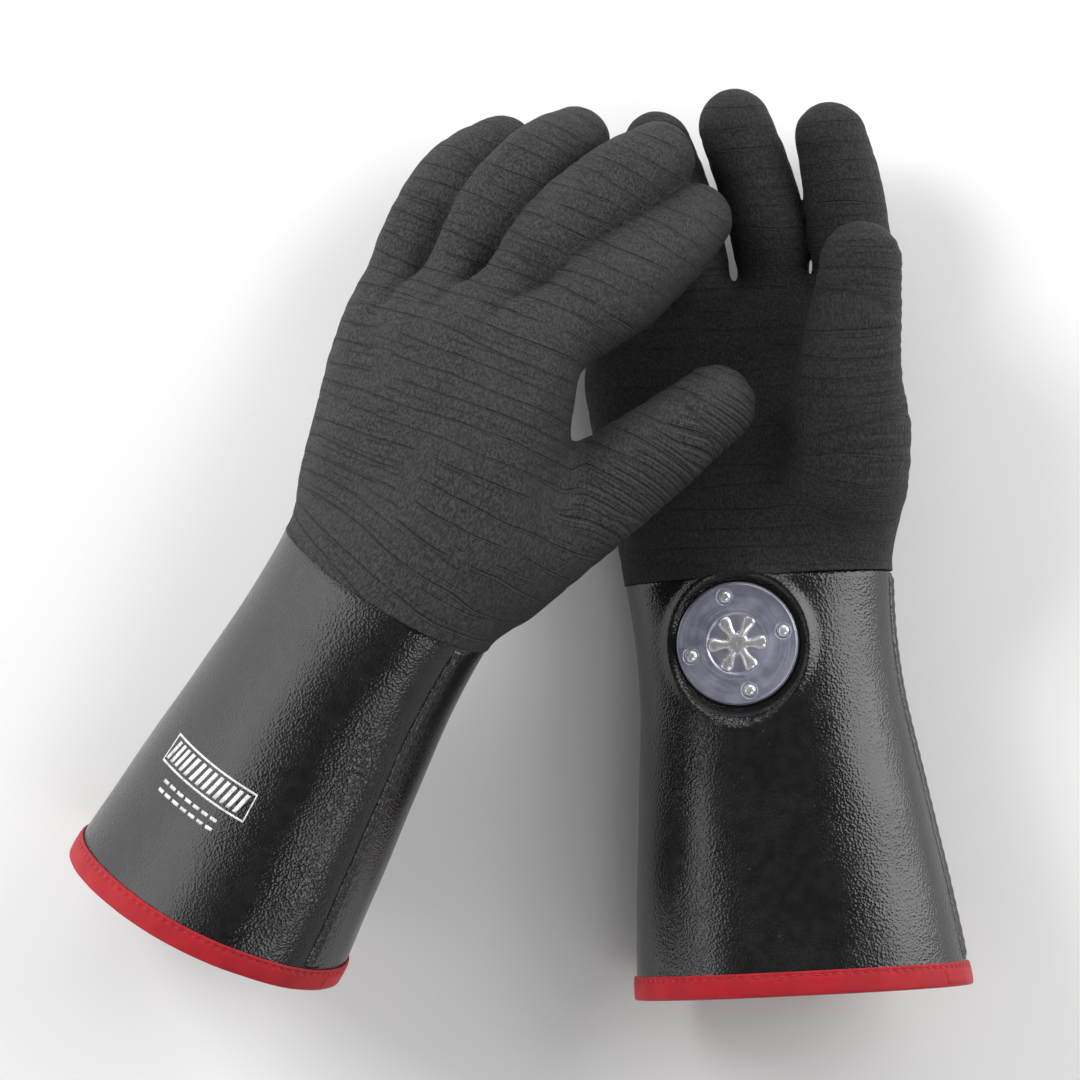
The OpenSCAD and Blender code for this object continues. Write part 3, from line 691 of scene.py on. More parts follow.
def knit_cotton(colours):
    """Natural cotton lining: a soft rib knit with a brushed nap and flecks."""
    m = Finish("knitted cotton", Sheen_Weight=0.35, Sheen_Roughness=0.6, Specular_IOR_Level=0.2)
    flow = m.mark("flow", "Vector")
    stitch = m.times(m.wave(flow, 155.0, 0.5, 1.0, "X"), m.wave(flow, 190.0, 0.9, 1.0, "Y"))
    nap = m.noise(flow, 420, 3, 0.7)
    fleck = m.ramp(m.noise(flow, 160, 2), 0.66, 0.74)
    base = m.tint(m.tones(stitch, colours.lining, 0.62, 1.05), m.times(fleck, 0.5), colours.lining, 0.5)
    return m.feed(Base_Color=base, Roughness=m.ramp(nap, 0.2, 0.8, 0.95, 0.8),
                  Normal=m.bump(m.plus(stitch, m.times(nap, 0.7)), 0.0006, 0.8))


def brushed_plate(colours):
    """Satin metal with a faint round brushing, small scuffs and a bluish cast."""
    m = Finish("brushed satin metal", Metallic=0.9)
    flow = m.mark("flow", "Vector")
    lines = m.noise(m.stretched(flow, (1.0, 0.03, 1.0)), 1900, 2, 0.6)
    cloud = m.noise(flow, 120, 3, 0.55)
    base = m.tones(m.ramp(cloud, 0.3, 0.7), colours.plate, 0.82, 1.12)
    return m.feed(Base_Color=m.tint(base, m.times(lines, 0.35), colours.plate, 1.3),
                  Roughness=m.ramp(m.plus(lines, cloud), 0.6, 1.4, 0.34, 0.52), Normal=m.bump(lines, 0.00006, 0.5))


def bright_metal(colours):
    """Polished metal with a few hair scratches."""
    m = Finish("polished bright metal", Metallic=0.75)
    place = m.place()
    scratch = m.noise(m.stretched(place, (1.0, 0.12, 0.5)), 1500, 2, 0.6)
    spot = m.ramp(m.noise(place, 300, 2), 0.3, 0.7)
    return m.feed(Base_Color=m.tones(spot, colours.bright, 0.9, 1.0), Roughness=m.ramp(scratch, 0.35, 0.8, 0.2, 0.36),
                  Normal=m.bump(scratch, 0.00003, 0.4))


def gasket_rubber(colours):
    """Plain soft washer rubber with a dusty grain."""
    m = Finish("soft washer rubber")
    grain = m.noise(m.place(), 700, 3, 0.6)
    return m.feed(Base_Color=m.tones(grain, colours.cuff, 0.5, 1.0), Roughness=m.ramp(grain, 0.3, 0.7, 0.55, 0.75),
                  Normal=m.bump(grain, 0.0003, 0.4))


def print_ink(colours):
    """White printing ink that shows the grain under it, thinner and greyer in places."""
    m = Finish("white ink")
    place = m.place()
    peel, thin = m.noise(place, 620, 2.5, 0.55, 0.2), m.noise(place, 240, 3, 0.6)
    base = m.tones(m.ramp(thin, 0.3, 0.62), colours.ink, 0.6, 1.0)
    return m.feed(Base_Color=m.tint(base, m.ramp(peel, 0.62, 0.72), colours.ink, 0.35),
                  Roughness=m.ramp(thin, 0.3, 0.7, 0.5, 0.36), Normal=m.bump(peel, 0.0006, 0.5))


FINISHES = {
    "hand_rubber": hand_rubber, "cuff_rubber": cuff_rubber, "binding_tape": woven_tape, "red_thread": spun_thread,
    "liner_cotton": knit_cotton, "satin_metal": brushed_plate, "polished_metal": bright_metal,
    "gasket_rubber": gasket_rubber, "print_ink": print_ink}
MADE = {}


def finish_of(name):
    """The named finish, made on first use from the colours in the sidebar."""
    if name not in MADE:
        MADE[name] = FINISHES[name](bpy.context.scene.glove_colours)
    return MADE[name]


# ---------------------------------------------------------------- settings

def size(name, description, default, low, high):
    return FloatProperty(name=name, description=description, default=default, min=low, max=high, unit="LENGTH",
                         precision=4)


def tint(name, description, default):
    return FloatVectorProperty(name=name, description=description, default=default, subtype="COLOR", min=0, max=1)


def watts(name, description, default):
    return FloatProperty(name=name, description=description + " in watts", default=default, min=0.0)


class GloveSizes(bpy.types.PropertyGroup):
    coat_wall: size("Coat wall", "Thickness of the dipped rubber", 0.0013, 0.0006, 0.0016)
    coat_lip: size("Coat lip", "How far the hand coat's edge stands over the gauntlet", 0.0003, 0.0, 0.001)
    ripple_height: size("Ripple height", "Height of the ripples across the hand", 0.00035, 0.0, 0.001)
    binding_height: size("Binding height", "How far the hem's tape reaches up the cuff", 0.0085, 0.005, 0.015)
    binding_wall: size("Binding wall", "Thickness of the tape", 0.0008, 0.0004, 0.0015)
    thread_size: size("Thread size", "Diameter of the sewing thread", 0.0005, 0.0002, 0.001)
    stitch_pitch: size("Stitch pitch", "Distance from stitch to stitch", 0.0036, 0.002, 0.008)
    seam_width: size("Seam width", "Width of the raised side seam", 0.005, 0.002, 0.01)
    seam_height: size("Seam height", "How far the side seam stands up", 0.0007, 0.0002, 0.002)
    plate_thickness: size("Plate thickness", "Thickness of the badge's plate", 0.0012, 0.0008, 0.003)
    rivet_head: size("Rivet head", "Diameter of the rivets' domes", 0.005, 0.003, 0.008)
    spokes: IntProperty(name="Rosette spokes", description="Bars in the badge's rosette", default=6, min=3, max=12)


class GloveColours(bpy.types.PropertyGroup):
    hand: tint("Hand rubber", "Matt crinkled rubber of the hands", (0.026, 0.026, 0.0265))
    cuff: tint("Cuff rubber", "Glossy rubber of the cuffs", (0.0095, 0.0095, 0.0098))
    tape: tint("Hem tape", "Binding tape round the hem", (0.36, 0.0065, 0.014))
    thread: tint("Thread", "Sewing thread of the hem", (0.30, 0.0055, 0.012))
    lining: tint("Lining", "Cotton lining", (0.62, 0.56, 0.45))
    plate: tint("Plate", "Satin metal of the badge", (0.56, 0.57, 0.71))
    bright: tint("Bright metal", "Polished rivets and rosette", (0.86, 0.86, 0.88))
    ink: tint("Ink", "Printed band and dashes", (0.8, 0.8, 0.79))


class StageSettings(bpy.types.PropertyGroup):
    floor: tint("Floor", "Colour of the floor", (0.9, 0.9, 0.9))
    side_power: watts("Side lamps", "Power of each tall side lamp", 22.0)
    top_power: watts("Top lamp", "Power of the top lamp", 8.0)
    front_power: watts("Front lamp", "Power of the small lamp in front", 4.0)
    key_power: watts("Key lamp", "Power of the lamp that shapes the hands", 25.0)
    fill_power: watts("Fill lamp", "Power of the wide lamp overhead", 8.0)


# ---------------------------------------------------------------- operators

class GLOVES_OT_hand_coats(bpy.types.Operator):
    """Matt crinkled coats of the hands, each one skin from the wrist to the fingertips"""
    bl_idname = "gloves.hand_coats"
    bl_label = "Hand Coats"

    def execute(self, context):
        sizes = context.scene.glove_sizes
        for glove in GLOVES:
            points, quads, normals = hand_surface(glove, COAT_STEP, 0.0)
            points = points + normals * self.swell(glove, points, sizes.ripple_height * 1000)[:, None]
            points, faces = cut_at_edge(glove, points, quads)
            x, y, z, thumb = along_hand(glove, points)
            # The coat's edge stands out a little over the gauntlet, less and less over the next 3.2 mm.
            rim = np.clip(1 - (y - glove.edge) / 3.2, 0, 1) ** 1.5
            spread = points - glove.centre(np.clip(y, -20, 160))
            spread /= np.maximum(np.linalg.norm(spread, axis=1, keepdims=True), 1e-6)
            points = soft_table(points + spread * (rim * sizes.coat_lip * 1000)[:, None])
            flow = np.stack([x, y + glove.lean * x * (1 - thumb), z], -1) / 1000
            coat = make_piece(glove, "hand_skin", points, faces, "hand_coat", "hand_rubber", wall=sizes.coat_wall,
                              marks={"flow": flow, "ripple": self.ripple_mask(glove, points, thumb)})
            # The mask for the painted shade on the palm side and in hollows, and for how strongly the creases show.
            put_marks(coat.data, {"lit_and_creased": self.lit_and_creased_mask(glove, coat.data)})
        return {"FINISHED"}

    @staticmethod
    def swell(glove, points, height):
        """Ripples across the glove: sharp-valleyed waves 8.6 mm apart whose phase wanders, closer ones on the
        thumb, and slow dents."""
        x, y, z, thumb = along_hand(glove, points)
        y = y + glove.lean * x * (1 - thumb)
        wander = 1.6 * drift_noise(points, 46, 1.0) + 0.5 * drift_noise(points, 17, 2.0)
        ridge = abs(np.sin((y + wander) / 8.6 * math.pi)) ** 0.6 - 0.75
        strength = ease(drift_noise(points, 38, 4.0) * 0.8 + 0.55)
        close = abs(np.sin((y + 0.5 * wander) / 4.6 * math.pi)) - 0.6
        return height * (ridge * strength + 1.2 * close * thumb) + 0.35 * drift_noise(points, 60, 7.0)

    @staticmethod
    def ripple_mask(glove, points, thumb):
        """How strongly the close ripples show: on the thumb's side away from the fingers."""
        local = (points - glove.origin) @ glove.hand
        a, b = bones_of(glove.digits[THUMB])[[1, 3]]
        way = (b - a)[:2] / np.hypot(*(b - a)[:2])
        outer = (local[:, :2] - a[:2]) @ np.array([way[1], -way[0]])
        return np.clip(thumb * ease((outer - 4) / 9), 0, 1) * (0.85 if glove.side < 0 else 0.25)

    @staticmethod
    def lit_and_creased_mask(glove, mesh):
        """One where the skin faces as the back of the hand does, more creased and free of painted shade; nought on the
        palm and less in a hollow (how far the neighbours' mean lies outside the point, blurred three times), where the
        rubber gets painted shade."""
        count = len(mesh.vertices)
        facing, places = np.empty(count * 3, np.float32), np.empty(count * 3, np.float32)
        mesh.vertex_normals.foreach_get("vector", facing)
        mesh.vertices.foreach_get("co", places)
        facing, places = facing.reshape(-1, 3), places.reshape(-1, 3) * 1000
        pairs = np.empty(len(mesh.edges) * 2, np.int32)
        mesh.edges.foreach_get("vertices", pairs)
        a, b = pairs.reshape(-1, 2).T
        number = np.maximum(np.bincount(a, minlength=count) + np.bincount(b, minlength=count), 1)
        mean = np.stack([neighbour_sum(a, b, places[:, axis], count) / number for axis in range(3)], -1)
        hollow = ((mean - places) * facing).sum(-1)
        for _ in range(3):
            hollow = 0.4 * hollow + 0.6 * neighbour_sum(a, b, hollow, count) / number
        return ease(0.5 - 0.8 * facing @ glove.hand[:, 2]) * (1 - ease((hollow - 0.01) / 0.11))


class GLOVES_OT_gauntlets(bpy.types.Operator):
    """Glossy flared gauntlets, tucked under the hand coats and puffed round the badge"""
    bl_idname = "gloves.gauntlets"
    bl_label = "Gauntlets"

    def execute(self, context):
        for glove in GLOVES:
            tuck = [(5, 1.5), (3.2, 1.45), (1.6, 1.2), (0.6, 0.85), (-0.4, 0.3), (-1.6, 0.05)]
            outline = [(glove.edge + rise, inset) for rise, inset in tuck]
            outline += [(y, 0.0) for y in np.linspace(glove.edge - 3, glove.hem, 130)]
            outline += [(y, COAT_DEPTH) for y in np.linspace(glove.hem, glove.edge - 4, 60)]
            outline += [(glove.edge, 1.75), (glove.edge + 5, 1.86)]
            y, inset = np.transpose(outline)
            points, faces = ring(glove, y, inset, 380)
            make_piece(glove, "gauntlet_skin", points, faces, "gauntlet_coat", "cuff_rubber")
        return {"FINISHED"}


class GLOVES_OT_linings(bpy.types.Operator):
    """Cotton linings: a tube in each cuff and a bag in each hand"""
    bl_idname = "gloves.linings"
    bl_label = "Linings"

    def execute(self, context):
        for glove in GLOVES:
            for piece in (self.tube(glove), self.bag(glove)):
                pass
        return {"FINISHED"}

    @staticmethod
    def tube(glove):
        """The cuff's lining: a ring of two walls, the inner one softly rippled."""
        ys, columns = np.linspace(glove.hem, glove.edge, 90), 220
        y = np.concatenate([ys[::-1], ys])
        inset = np.concatenate([np.full(len(ys), LINER_TOP), LINER_FACE + 0.25 * np.sin(ys * 0.35)])
        points, faces = ring(glove, y, inset, columns)
        around = (round_angles(columns) * 57)[None, :]
        flow = np.stack(np.broadcast_arrays(around, y[:, None], 0.0), -1).reshape(-1, 3) / 1000
        return make_piece(glove, "cuff_lining", points, faces, "cuff_liner", "liner_cotton", marks={"flow": flow})

    @staticmethod
    def bag(glove):
        """The hand's lining: the hand's surface drawn in under the coat, with a wall."""
        points, quads, normals = hand_surface(glove, LINING_STEP, -LINER_TOP)
        points, faces = cut_at_edge(glove, points, quads)
        x, y, z, thumb = along_hand(glove, points)
        flow = np.stack([np.arctan2(z, x) * 45, y, 0 * y], -1) / 1000
        return make_piece(glove, "hand_lining", soft_table(points, LINING_LOW), faces, "hand_liner", "liner_cotton",
                          marks={"flow": flow}, wall=(LINER_FACE - LINER_TOP) / 1000)


class GLOVES_OT_hem_tapes(bpy.types.Operator):
    """Red tape folded round each hem, with its lap and its row of stitches"""
    bl_idname = "gloves.hem_tapes"
    bl_label = "Hem Tapes"

    def execute(self, context):
        sizes = context.scene.glove_sizes
        wall, tall = sizes.binding_wall * 1000, sizes.binding_height * 1000
        stitch = tall - STITCH_INSET
        for glove in GLOVES:
            loop = glove.skin(glove.hem + 6, np.arange(241) * 2 * math.pi / 240, 0.0)
            round_hem = np.linalg.norm(np.diff(loop, axis=0), axis=1).sum()
            count = int(round(round_hem / (sizes.stitch_pitch * 1000)))
            self.tape(glove, wall, tall, stitch, count)
            self.lap(glove, -TAPE_GAP - wall, stitch)
            self.stitches(glove, glove.hem + stitch, -TAPE_GAP - wall, count, sizes.thread_size * 500)
        return {"FINISHED"}

    @staticmethod
    def tape(glove, wall, tall, stitch, count):
        """The tape's outline up the outside, round the hem and up the inside. Its face bulges as sin^0.6 and dips
        at the stitches, puckers as a cosine once a stitch and waves slowly round the cuff."""
        h, out, back = glove.hem, -TAPE_GAP, LINER_FACE + TAPE_GAP
        outline = [(h + tall, out - 0.15), (h + tall - 0.05, out - wall * 0.75), (h + tall - 0.35, out - wall)]
        outline += [(h + tall * k, out - wall - 0.28 * math.sin(math.pi * k) ** 0.6
                     + 0.3 * math.exp(-((tall * k - stitch) / 0.55) ** 2)) for k in np.linspace(0.92, 0.06, 22)]
        middle, half = (out + back) / 2, (back - out) / 2 + wall
        outline += [(h + 0.35 - 1.25 * math.sin(math.pi * k) ** 0.45, middle - half * math.cos(math.pi * k))
                    for k in np.linspace(0.03, 0.97, 18)]
        outline += [(h + tall * k, back + wall + 0.1 * math.sin(math.pi * k)) for k in np.linspace(0.08, 0.94, 8)]
        outline += [(h + tall, back + wall * 0.7), (h + tall, back + 0.1)]
        outline += [(h + 0.3, back), (h, back - 0.2), (h, out + 0.2), (h + 0.3, out)]
        y, inset = np.transpose(outline)
        columns = 720
        a = round_angles(columns)[None, :]
        pucker = np.cos(a * count) * bump_at(y - h, stitch, 1.3)[:, None]
        slack = 0.12 * np.sin(a * 23 + 1.3) * bump_at(y - h, 2.5, 3)[:, None]
        inset = inset[:, None]
        points, faces = ring(glove, y, inset + np.where(inset < 0, 0.16 * pucker + slack, 0), columns)
        make_piece(glove, "hem_tape", points, faces, "hem_binding", "binding_tape")

    @staticmethod
    def lap(glove, level, stitch):
        """The tape's end lapped over itself: a short patch of the same curve, rounded off at its edges."""
        half, middle = LAP_LENGTH / HEM_DEPTH, math.radians(LAP_ANGLE)
        v, u = np.linspace(0, 1, 12)[:, None], np.linspace(0, 1, 28)[None, :]
        y = glove.hem + 0.5 + v * (stitch - 1.2)
        a = middle - half + 2 * half * u + 0.02 * (v - 0.5)
        crown = 0.5 * np.minimum(1, np.minimum(u, 1 - u) * 12) ** 0.5 * np.minimum(1, np.minimum(v, 1 - v) * 8) ** 0.5
        points, faces = slab(glove, y, a, level - 0.2 - crown, level + 0.1, rising=True)
        make_piece(glove, "tape_lap", soft_table(points), [faces], "binding_join", "binding_tape")

    @staticmethod
    def stitches(glove, y, level, count, r):
        """Threads lying in the tape: each a bent capsule of seven six-sided rings, its ends dipping in."""
        k = np.arange(count)[:, None, None]
        t = np.linspace(-1, 1, 7)[None, :, None]
        q = round_angles(6)[None, None, :]
        reach = 0.36 * 2 * math.pi / count
        thick = r * np.sqrt(np.maximum(1 - np.abs(t) ** 5, 0.02))
        a = (k + 0.5) * 2 * math.pi / count + t * reach
        row = y + thick * np.cos(q) + 0.12 * t
        inset = level - 0.12 + 0.42 * np.abs(t) ** 3 - thick * np.sin(q)
        points = soft_table(glove.skin(row, a, inset)).reshape(-1, 3)
        ends = np.array([[0, 1, 2, 3, 4, 5], [41, 40, 39, 38, 37, 36]])
        one = (grid_faces(7, 6, flip=glove.side > 0), ends[:, ::-1] if glove.side < 0 else ends)
        starts = (np.arange(count) * 42)[:, None, None]
        faces = [(part[None] + starts).reshape(-1, part.shape[1]) for part in one]
        make_piece(glove, "hem_stitches", points, faces, "hem_stitching", "red_thread")


class GLOVES_OT_side_seams(bpy.types.Operator):
    """Raised welded seams down the thumb's side of the cuffs"""
    bl_idname = "gloves.side_seams"
    bl_label = "Side Seams"

    def execute(self, context):
        sizes = context.scene.glove_sizes
        half, tall = sizes.seam_width * 1000 / WRIST_DEPTH, sizes.seam_height * 1000
        for glove in GLOVES:
            top, bottom = glove.edge - SEAM_START, glove.hem + SEAM_STOP
            y, u = np.linspace(top, bottom, 150)[:, None], np.linspace(-1, 1, 19)[None, :]
            ends = ease((y - bottom) / 3) * ease((top - y) / 3)
            crown = (1 - np.abs(u) ** 2.6) * (1 - 0.35 * bump_at(u, 0.42, 0.13) - 0.35 * bump_at(u, -0.42, 0.13))
            height = tall * 1.6 * crown * (0.25 + 0.75 * ends) * (1 + 0.10 * np.sin(y * 1.3))
            a = u * half * (1 + 0.03 * np.sin(y * 0.21))
            points, faces = slab(glove, y, a, -height - 0.03, 0.25, rising=False)
            make_piece(glove, "seam_ridge", soft_table(points), [faces], "side_seam", "cuff_rubber")
        return {"FINISHED"}


def turned(profile, steps):
    """A profile of (radius, height) spun about the badge's axis: points (r cos, r sin, z)."""
    profile, a = np.asarray(profile, float), round_angles(steps)
    return np.stack([profile[:, :1] * np.cos(a), profile[:, :1] * np.sin(a), profile[:, 1:2] + 0 * a], -1)


def rivet_places(glove):
    """The four rivets' centres in the badge's plane, evenly round their circle."""
    for i in range(4):
        b = math.radians(RIVET_TURN + 90 * i) * glove.side
        yield RIVET_CIRCLE * math.cos(b), RIVET_CIRCLE * math.sin(b)


class GLOVES_OT_badges(bpy.types.Operator):
    """Round metal badges: washer, recessed plate, rosette and four domed rivets"""
    bl_idname = "gloves.badges"
    bl_label = "Badges"

    def execute(self, context):
        sizes = context.scene.glove_sizes
        top = GASKET_TOP + sizes.plate_thickness * 1000
        washer = turned([(0.01, 0.1), (23.2, 0.1), (23.95, 0.2), (24.05, 0.7), (23.95, 1.1), (23.3, 1.22),
                         (0.01, 1.22)], 128)
        back = turned([(0.01, -5.35), (20.6, -5.35), (20.9, -5.2), (21, -4.95), (20.9, -4.67), (20.6, -4.55),
                       (0.01, -4.55)], 96)
        for glove in GLOVES:
            self.spun(glove, "badge_disc", self.plate(glove, top), "badge_plate", "satin_metal", flip=True)
            self.spun(glove, "badge_studs", self.rivets(glove, top, sizes.rivet_head * 500), "badge_rivets",
                      "polished_metal", flip=True)
            self.spun(glove, "badge_rosette", self.rosette(top, sizes.spokes), "badge_emblem", "polished_metal",
                      flip=True)
            self.spun(glove, "badge_washer", washer, "badge_gasket", "gasket_rubber", flip=False)
            self.spun(glove, "badge_back", back, "badge_backing_plate", "satin_metal", flip=False)
        return {"FINISHED"}

    @staticmethod
    def spun(glove, name, grid, node, finish, flip):
        """One or more grids of spun points set in the badge's place. The satin metal also gets the radius and the
        distance round the axis, for a brushing that runs in circles."""
        count, rows, columns = grid.reshape((-1,) + grid.shape[-3:]).shape[:3]
        faces = grid_faces(rows, columns, wrap_rows=True, flip=flip)
        p = grid.reshape(-1, 3)
        polar = np.stack([np.hypot(p[:, 0], p[:, 1]), np.arctan2(p[:, 1], p[:, 0]) * 20, p[:, 2]], -1) / 1000
        make_piece(glove, name, glove.badge_point + p @ glove.badge_frame.T,
                   [faces + i * rows * columns for i in range(count)], node, finish,
                   marks={"flow": polar} if finish == "satin_metal" else None)

    @staticmethod
    def plate(glove, top):
        """Top of the plate: level, less a round dish for the rosette with a fine ring groove outside it, less a
        small dished seat round each rivet, with the rim rolled over."""
        r = np.concatenate([np.linspace(0.02, 22.6, 90), 22.9 + 0.6 * np.sin(np.linspace(0.1, 1, 7) * math.pi / 2)])
        r, a = r[:, None], round_angles(320)[None, :]
        z = top - 0.62 * ease((DISH_RADIUS - r) / 0.7) - 0.12 * bump_at(r, 13.6, 0.35)
        z = z - 0.6 * ease((r - 22.6) / 0.9) ** 2
        x, y = r * np.cos(a), r * np.sin(a)
        for rivet_x, rivet_y in rivet_places(glove):
            z = z - 0.5 * ease((RIVET_SEAT - np.hypot(x - rivet_x, y - rivet_y)) / 0.7)
        edge = turned([(23.5, top - 0.75), (23.5, 1.4), (23.3, 1.26), (0.02, 1.26)], 320)
        return np.concatenate([np.stack([x, y, z + 0 * a], -1), edge])

    @staticmethod
    def rivets(glove, top, r):
        """Each rivet in one turned outline: a low dome with a rolled rim, a shank and a flat clenched tail."""
        outline = [(max(0.01, r * math.sin(k * math.pi / 2)), top - 0.25 + 1.45 * math.cos(k * math.pi / 2))
                   for k in np.linspace(0, 1, 12)]
        outline += [(r, top - 0.32), (r - 0.2, top - 0.42), (1.2, top - 0.42), (1.2, -5.36), (2.1, -5.36),
                    (2.25, -5.56), (2.2, -6.0), (1.9, -6.15), (0.01, -6.15)]
        return np.stack([turned(outline, 40) + np.array([x, y, 0]) for x, y in rivet_places(glove)])

    @staticmethod
    def rosette(top, spokes):
        """A flat flower of round-topped bars: height over a polar grid is the tallest of a hub and the bars."""
        r, a = np.linspace(0.02, 11.2, 64)[:, None], round_angles(360)[None, :]
        step = 2 * math.pi / spokes
        local = (a + step / 2) % step - step / 2
        along, across = r * np.cos(local), r * np.sin(local)
        bar = np.hypot(np.maximum(0, along - 9.4), across)
        width = 1.7 + 0.9 * ease((along - 5) / 4.5)
        spoke = np.sqrt(np.clip((width - bar) / 1.6, 0, 1)) * (along > 0)
        hub = 1.15 * np.sqrt(np.maximum(0, 1 - (r / 4.3) ** 2)) + 0 * a
        z = top - 0.66 + 1.05 * np.maximum(spoke, hub) ** 0.8
        base = turned([(11.2, top - 0.72), (0.02, top - 0.72)], 360)
        return np.concatenate([np.stack([r * np.cos(a), r * np.sin(a), z], -1), base])


class GLOVES_OT_prints(bpy.types.Operator):
    """Printed band of slanting bars in a thin frame, with two rows of dashes under it, on the back of each cuff"""
    bl_idname = "gloves.prints"
    bl_label = "Cuff Prints"

    def execute(self, context):
        middle, span = math.radians(PRINT_ANGLE), math.radians(PRINT_WIDTH / HEM_WIDTH * 98)
        for glove in GLOVES:
            points, faces, start = [], [], 0
            for u0, u1, y0, y1, lean in self.marks():
                rows, columns = max(2, int((y1 - y0) / 1.5) + 2), max(2, int((u1 - u0) * 70) + 2)
                v = np.linspace(0, 1, rows)[:, None]
                u = u0 + (u1 - u0) * np.linspace(0, 1, columns)[None, :] + lean * (v - 0.5)
                a, y = middle - span / 2 + span * u, y0 + (y1 - y0) * v
                patch, sides = slab(glove, y, a, PRINT_TOP, PRINT_FOOT, rising=True)
                points.append(patch)
                faces.append(sides + start)
                start += len(patch)
            make_piece(glove, "cuff_marks", soft_table(np.concatenate(points), PRINT_LOW), faces, "cuff_print",
                       "print_ink")
        return {"FINISHED"}

    @staticmethod
    def marks():
        """Each mark as its ends in shares of the print's width, its low and high y, and its lean."""
        low, high = PRINT_ROW - PRINT_RISE, PRINT_ROW + PRINT_RISE
        marks = [(0, 1, high - PRINT_LINE, high, 0), (0, 1, low, low + PRINT_LINE, 0),
                 (0, 0.012, low, high, 0), (0.988, 1, low, high, 0)]
        marks += [(0.05 + i * 0.07, 0.05 + i * 0.07 + 0.038, low + 1.9, high - 1.9, 0.045) for i in range(13)]
        for i in range(7):
            u = 0.175 + i * 0.0929
            marks += [(u, u + 0.065, low - 9, low - 7.7, 0), (u, u + 0.065, low - 5.3, low - 4, 0)]
        return marks


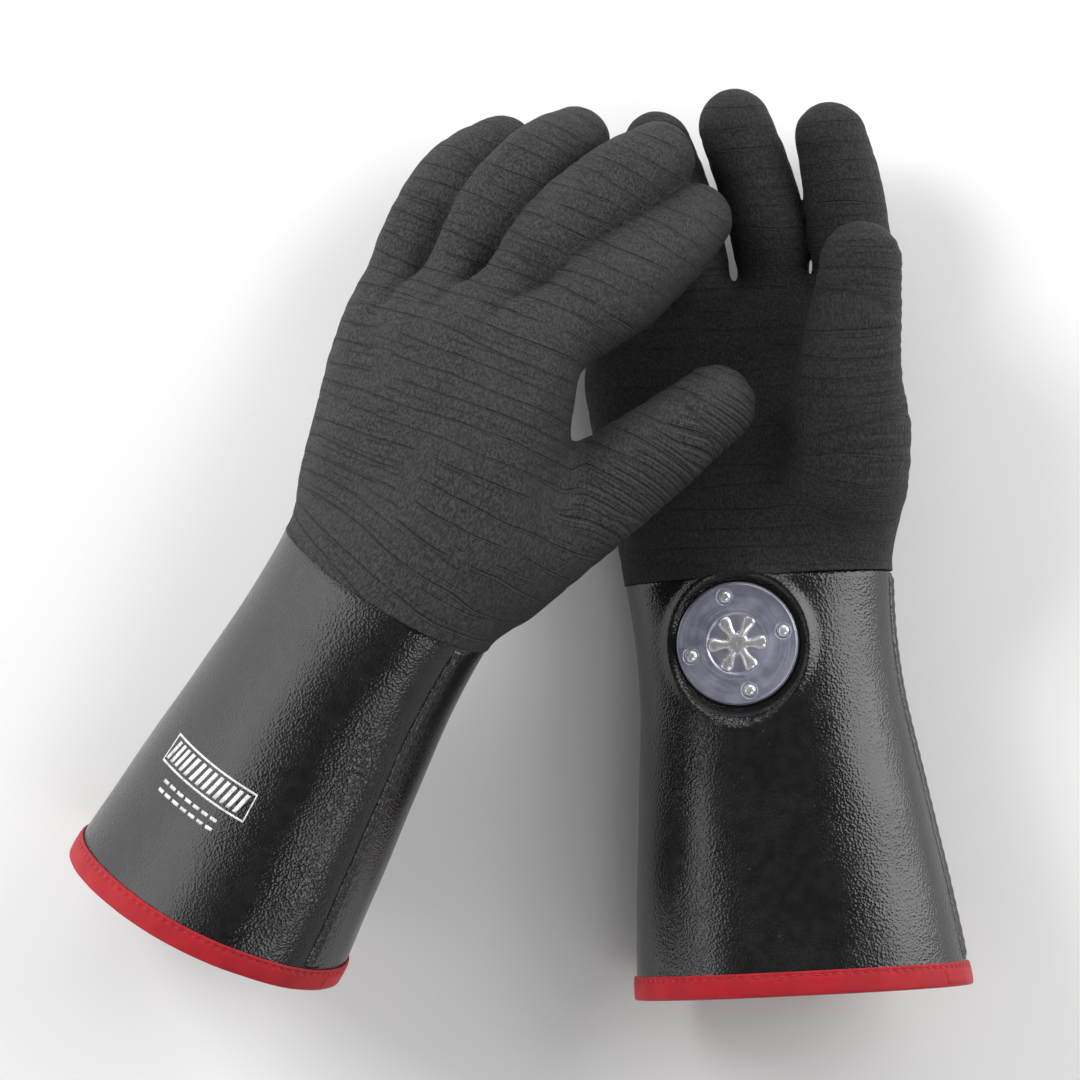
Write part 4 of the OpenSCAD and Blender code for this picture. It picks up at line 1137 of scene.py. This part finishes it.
class GLOVES_OT_stage(bpy.types.Operator):
    """Pale floor, soft lamps, dim tent of light and the camera overhead"""
    bl_idname = "gloves.stage"
    bl_label = "Stage"

    def execute(self, context):
        scene, settings = context.scene, context.scene.glove_stage
        scene.view_settings.view_transform = "Standard"
        self.floor(settings.floor)
        self.tent(scene)
        side = settings.side_power
        self.lamp("left lamp", (-1.6, 0.35, 0.6), (0, 0, 0.08), side * 0.38, 1.6, 1.15)
        self.lamp("right lamp", (1.3, 0.6, 0.75), (0.1, -0.1, 0.08), side, 1.3, 1.75)
        self.lamp("front lamp", (0.47, -0.92, 1.83), (-0.1, -0.1, 0.1), settings.front_power, 0.7, 0.7)
        self.lamp("key lamp", (-1.2, 0.9, 1.1), (0, 0, 0.05), settings.key_power, 0.8, 0.8, glossy=False)
        self.lamp("top lamp", (0, 1.9, 1.3), (0, 0, 0), settings.top_power, 1.6, 0.7)
        self.lamp("fill lamp", (0, 0, 2.6), (0, 0, 0), settings.fill_power, 3.0, 3.0, glossy=False)
        data = bpy.data.cameras.new("camera")
        data.lens, data.sensor_width, data.clip_end = 168.4, 36.0, 50
        scene.camera = bpy.data.objects.new("camera", data)
        scene.camera.location = (0.0076, 0.0025, 2.0)
        scene.collection.objects.link(scene.camera)
        return {"FINISHED"}

    @staticmethod
    def floor(colour):
        """A wide square just under the gloves, in faintly uneven paint."""
        mesh = bpy.data.meshes.new("floor")
        s = 6.0
        mesh.from_pydata([(-s, -s, 0), (s, -s, 0), (s, s, 0), (-s, s, 0)], [], [(0, 1, 2, 3)])
        floor = bpy.data.objects.new("floor", mesh)
        floor.location.z = -0.0002
        bpy.context.scene.collection.objects.link(floor)
        m = Finish("floor_paint", Roughness=0.9, Specular_IOR_Level=0.1)
        tone = m.ramp(m.noise(m.place(), 6, 2), 0.3, 0.7)
        mesh.materials.append(m.feed(Base_Color=m.tones(tone, colour, 0.985, 1.0)))

    @staticmethod
    def tent(scene):
        """Light from all round, pale at the sides and dark overhead."""
        scene.world = bpy.data.worlds.new("tent")
        scene.world.use_nodes = True
        m = Nodes(scene.world.node_tree)
        up = m.add("SeparateXYZ", {"Vector": m.add("TexCoord", None, "Generated")}, "Z")
        sky = m.tree.nodes["Background"]
        m.put(sky.inputs["Color"], m.tones(m.ramp(up, 0.25, 0.95), (1, 1, 1), 0.9, 0.05))
        m.put(sky.inputs["Strength"], 0.62)

    @staticmethod
    def lamp(name, place, aim, power, width, height, glossy=True):
        data = bpy.data.lights.new(name, "AREA")
        data.shape, data.size, data.size_y, data.energy = "RECTANGLE", width, height, power
        light = bpy.data.objects.new(name, data)
        light.location = place
        light.rotation_euler = (Vector(aim) - Vector(place)).to_track_quat("-Z", "Y").to_euler()
        light.visible_glossy = glossy
        bpy.context.scene.collection.objects.link(light)


class GLOVES_PT_panel(bpy.types.Panel):
    """Sizes, colours and one button for each group of pieces"""
    bl_idname = "GLOVES_PT_panel"
    bl_label = "Gauntlet Gloves"
    bl_space_type = "VIEW_3D"
    bl_region_type = "UI"
    bl_category = "Gloves"

    def draw(self, context):
        for group in (context.scene.glove_sizes, context.scene.glove_colours, context.scene.glove_stage):
            box = self.layout.box()
            for key in group.__annotations__:
                box.prop(group, key)
        for step in STEPS:
            self.layout.operator(step.bl_idname)


STEPS = (GLOVES_OT_stage, GLOVES_OT_hand_coats, GLOVES_OT_gauntlets, GLOVES_OT_linings, GLOVES_OT_hem_tapes,
         GLOVES_OT_side_seams, GLOVES_OT_badges, GLOVES_OT_prints)
CLASSES = (GloveSizes, GloveColours, StageSettings) + STEPS + (GLOVES_PT_panel,)


def register():
    for item in CLASSES:
        bpy.utils.register_class(item)
    bpy.types.Scene.glove_sizes = PointerProperty(type=GloveSizes)
    bpy.types.Scene.glove_colours = PointerProperty(type=GloveColours)
    bpy.types.Scene.glove_stage = PointerProperty(type=StageSettings)


def unregister():
    del bpy.types.Scene.glove_stage, bpy.types.Scene.glove_colours, bpy.types.Scene.glove_sizes
    for item in reversed(CLASSES):
        bpy.utils.unregister_class(item)


def main():
    register()
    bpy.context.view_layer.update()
    for step in STEPS:
        group, name = step.bl_idname.split(".")
        getattr(getattr(bpy.ops, group), name)()


if __name__ == "__main__":
    main()
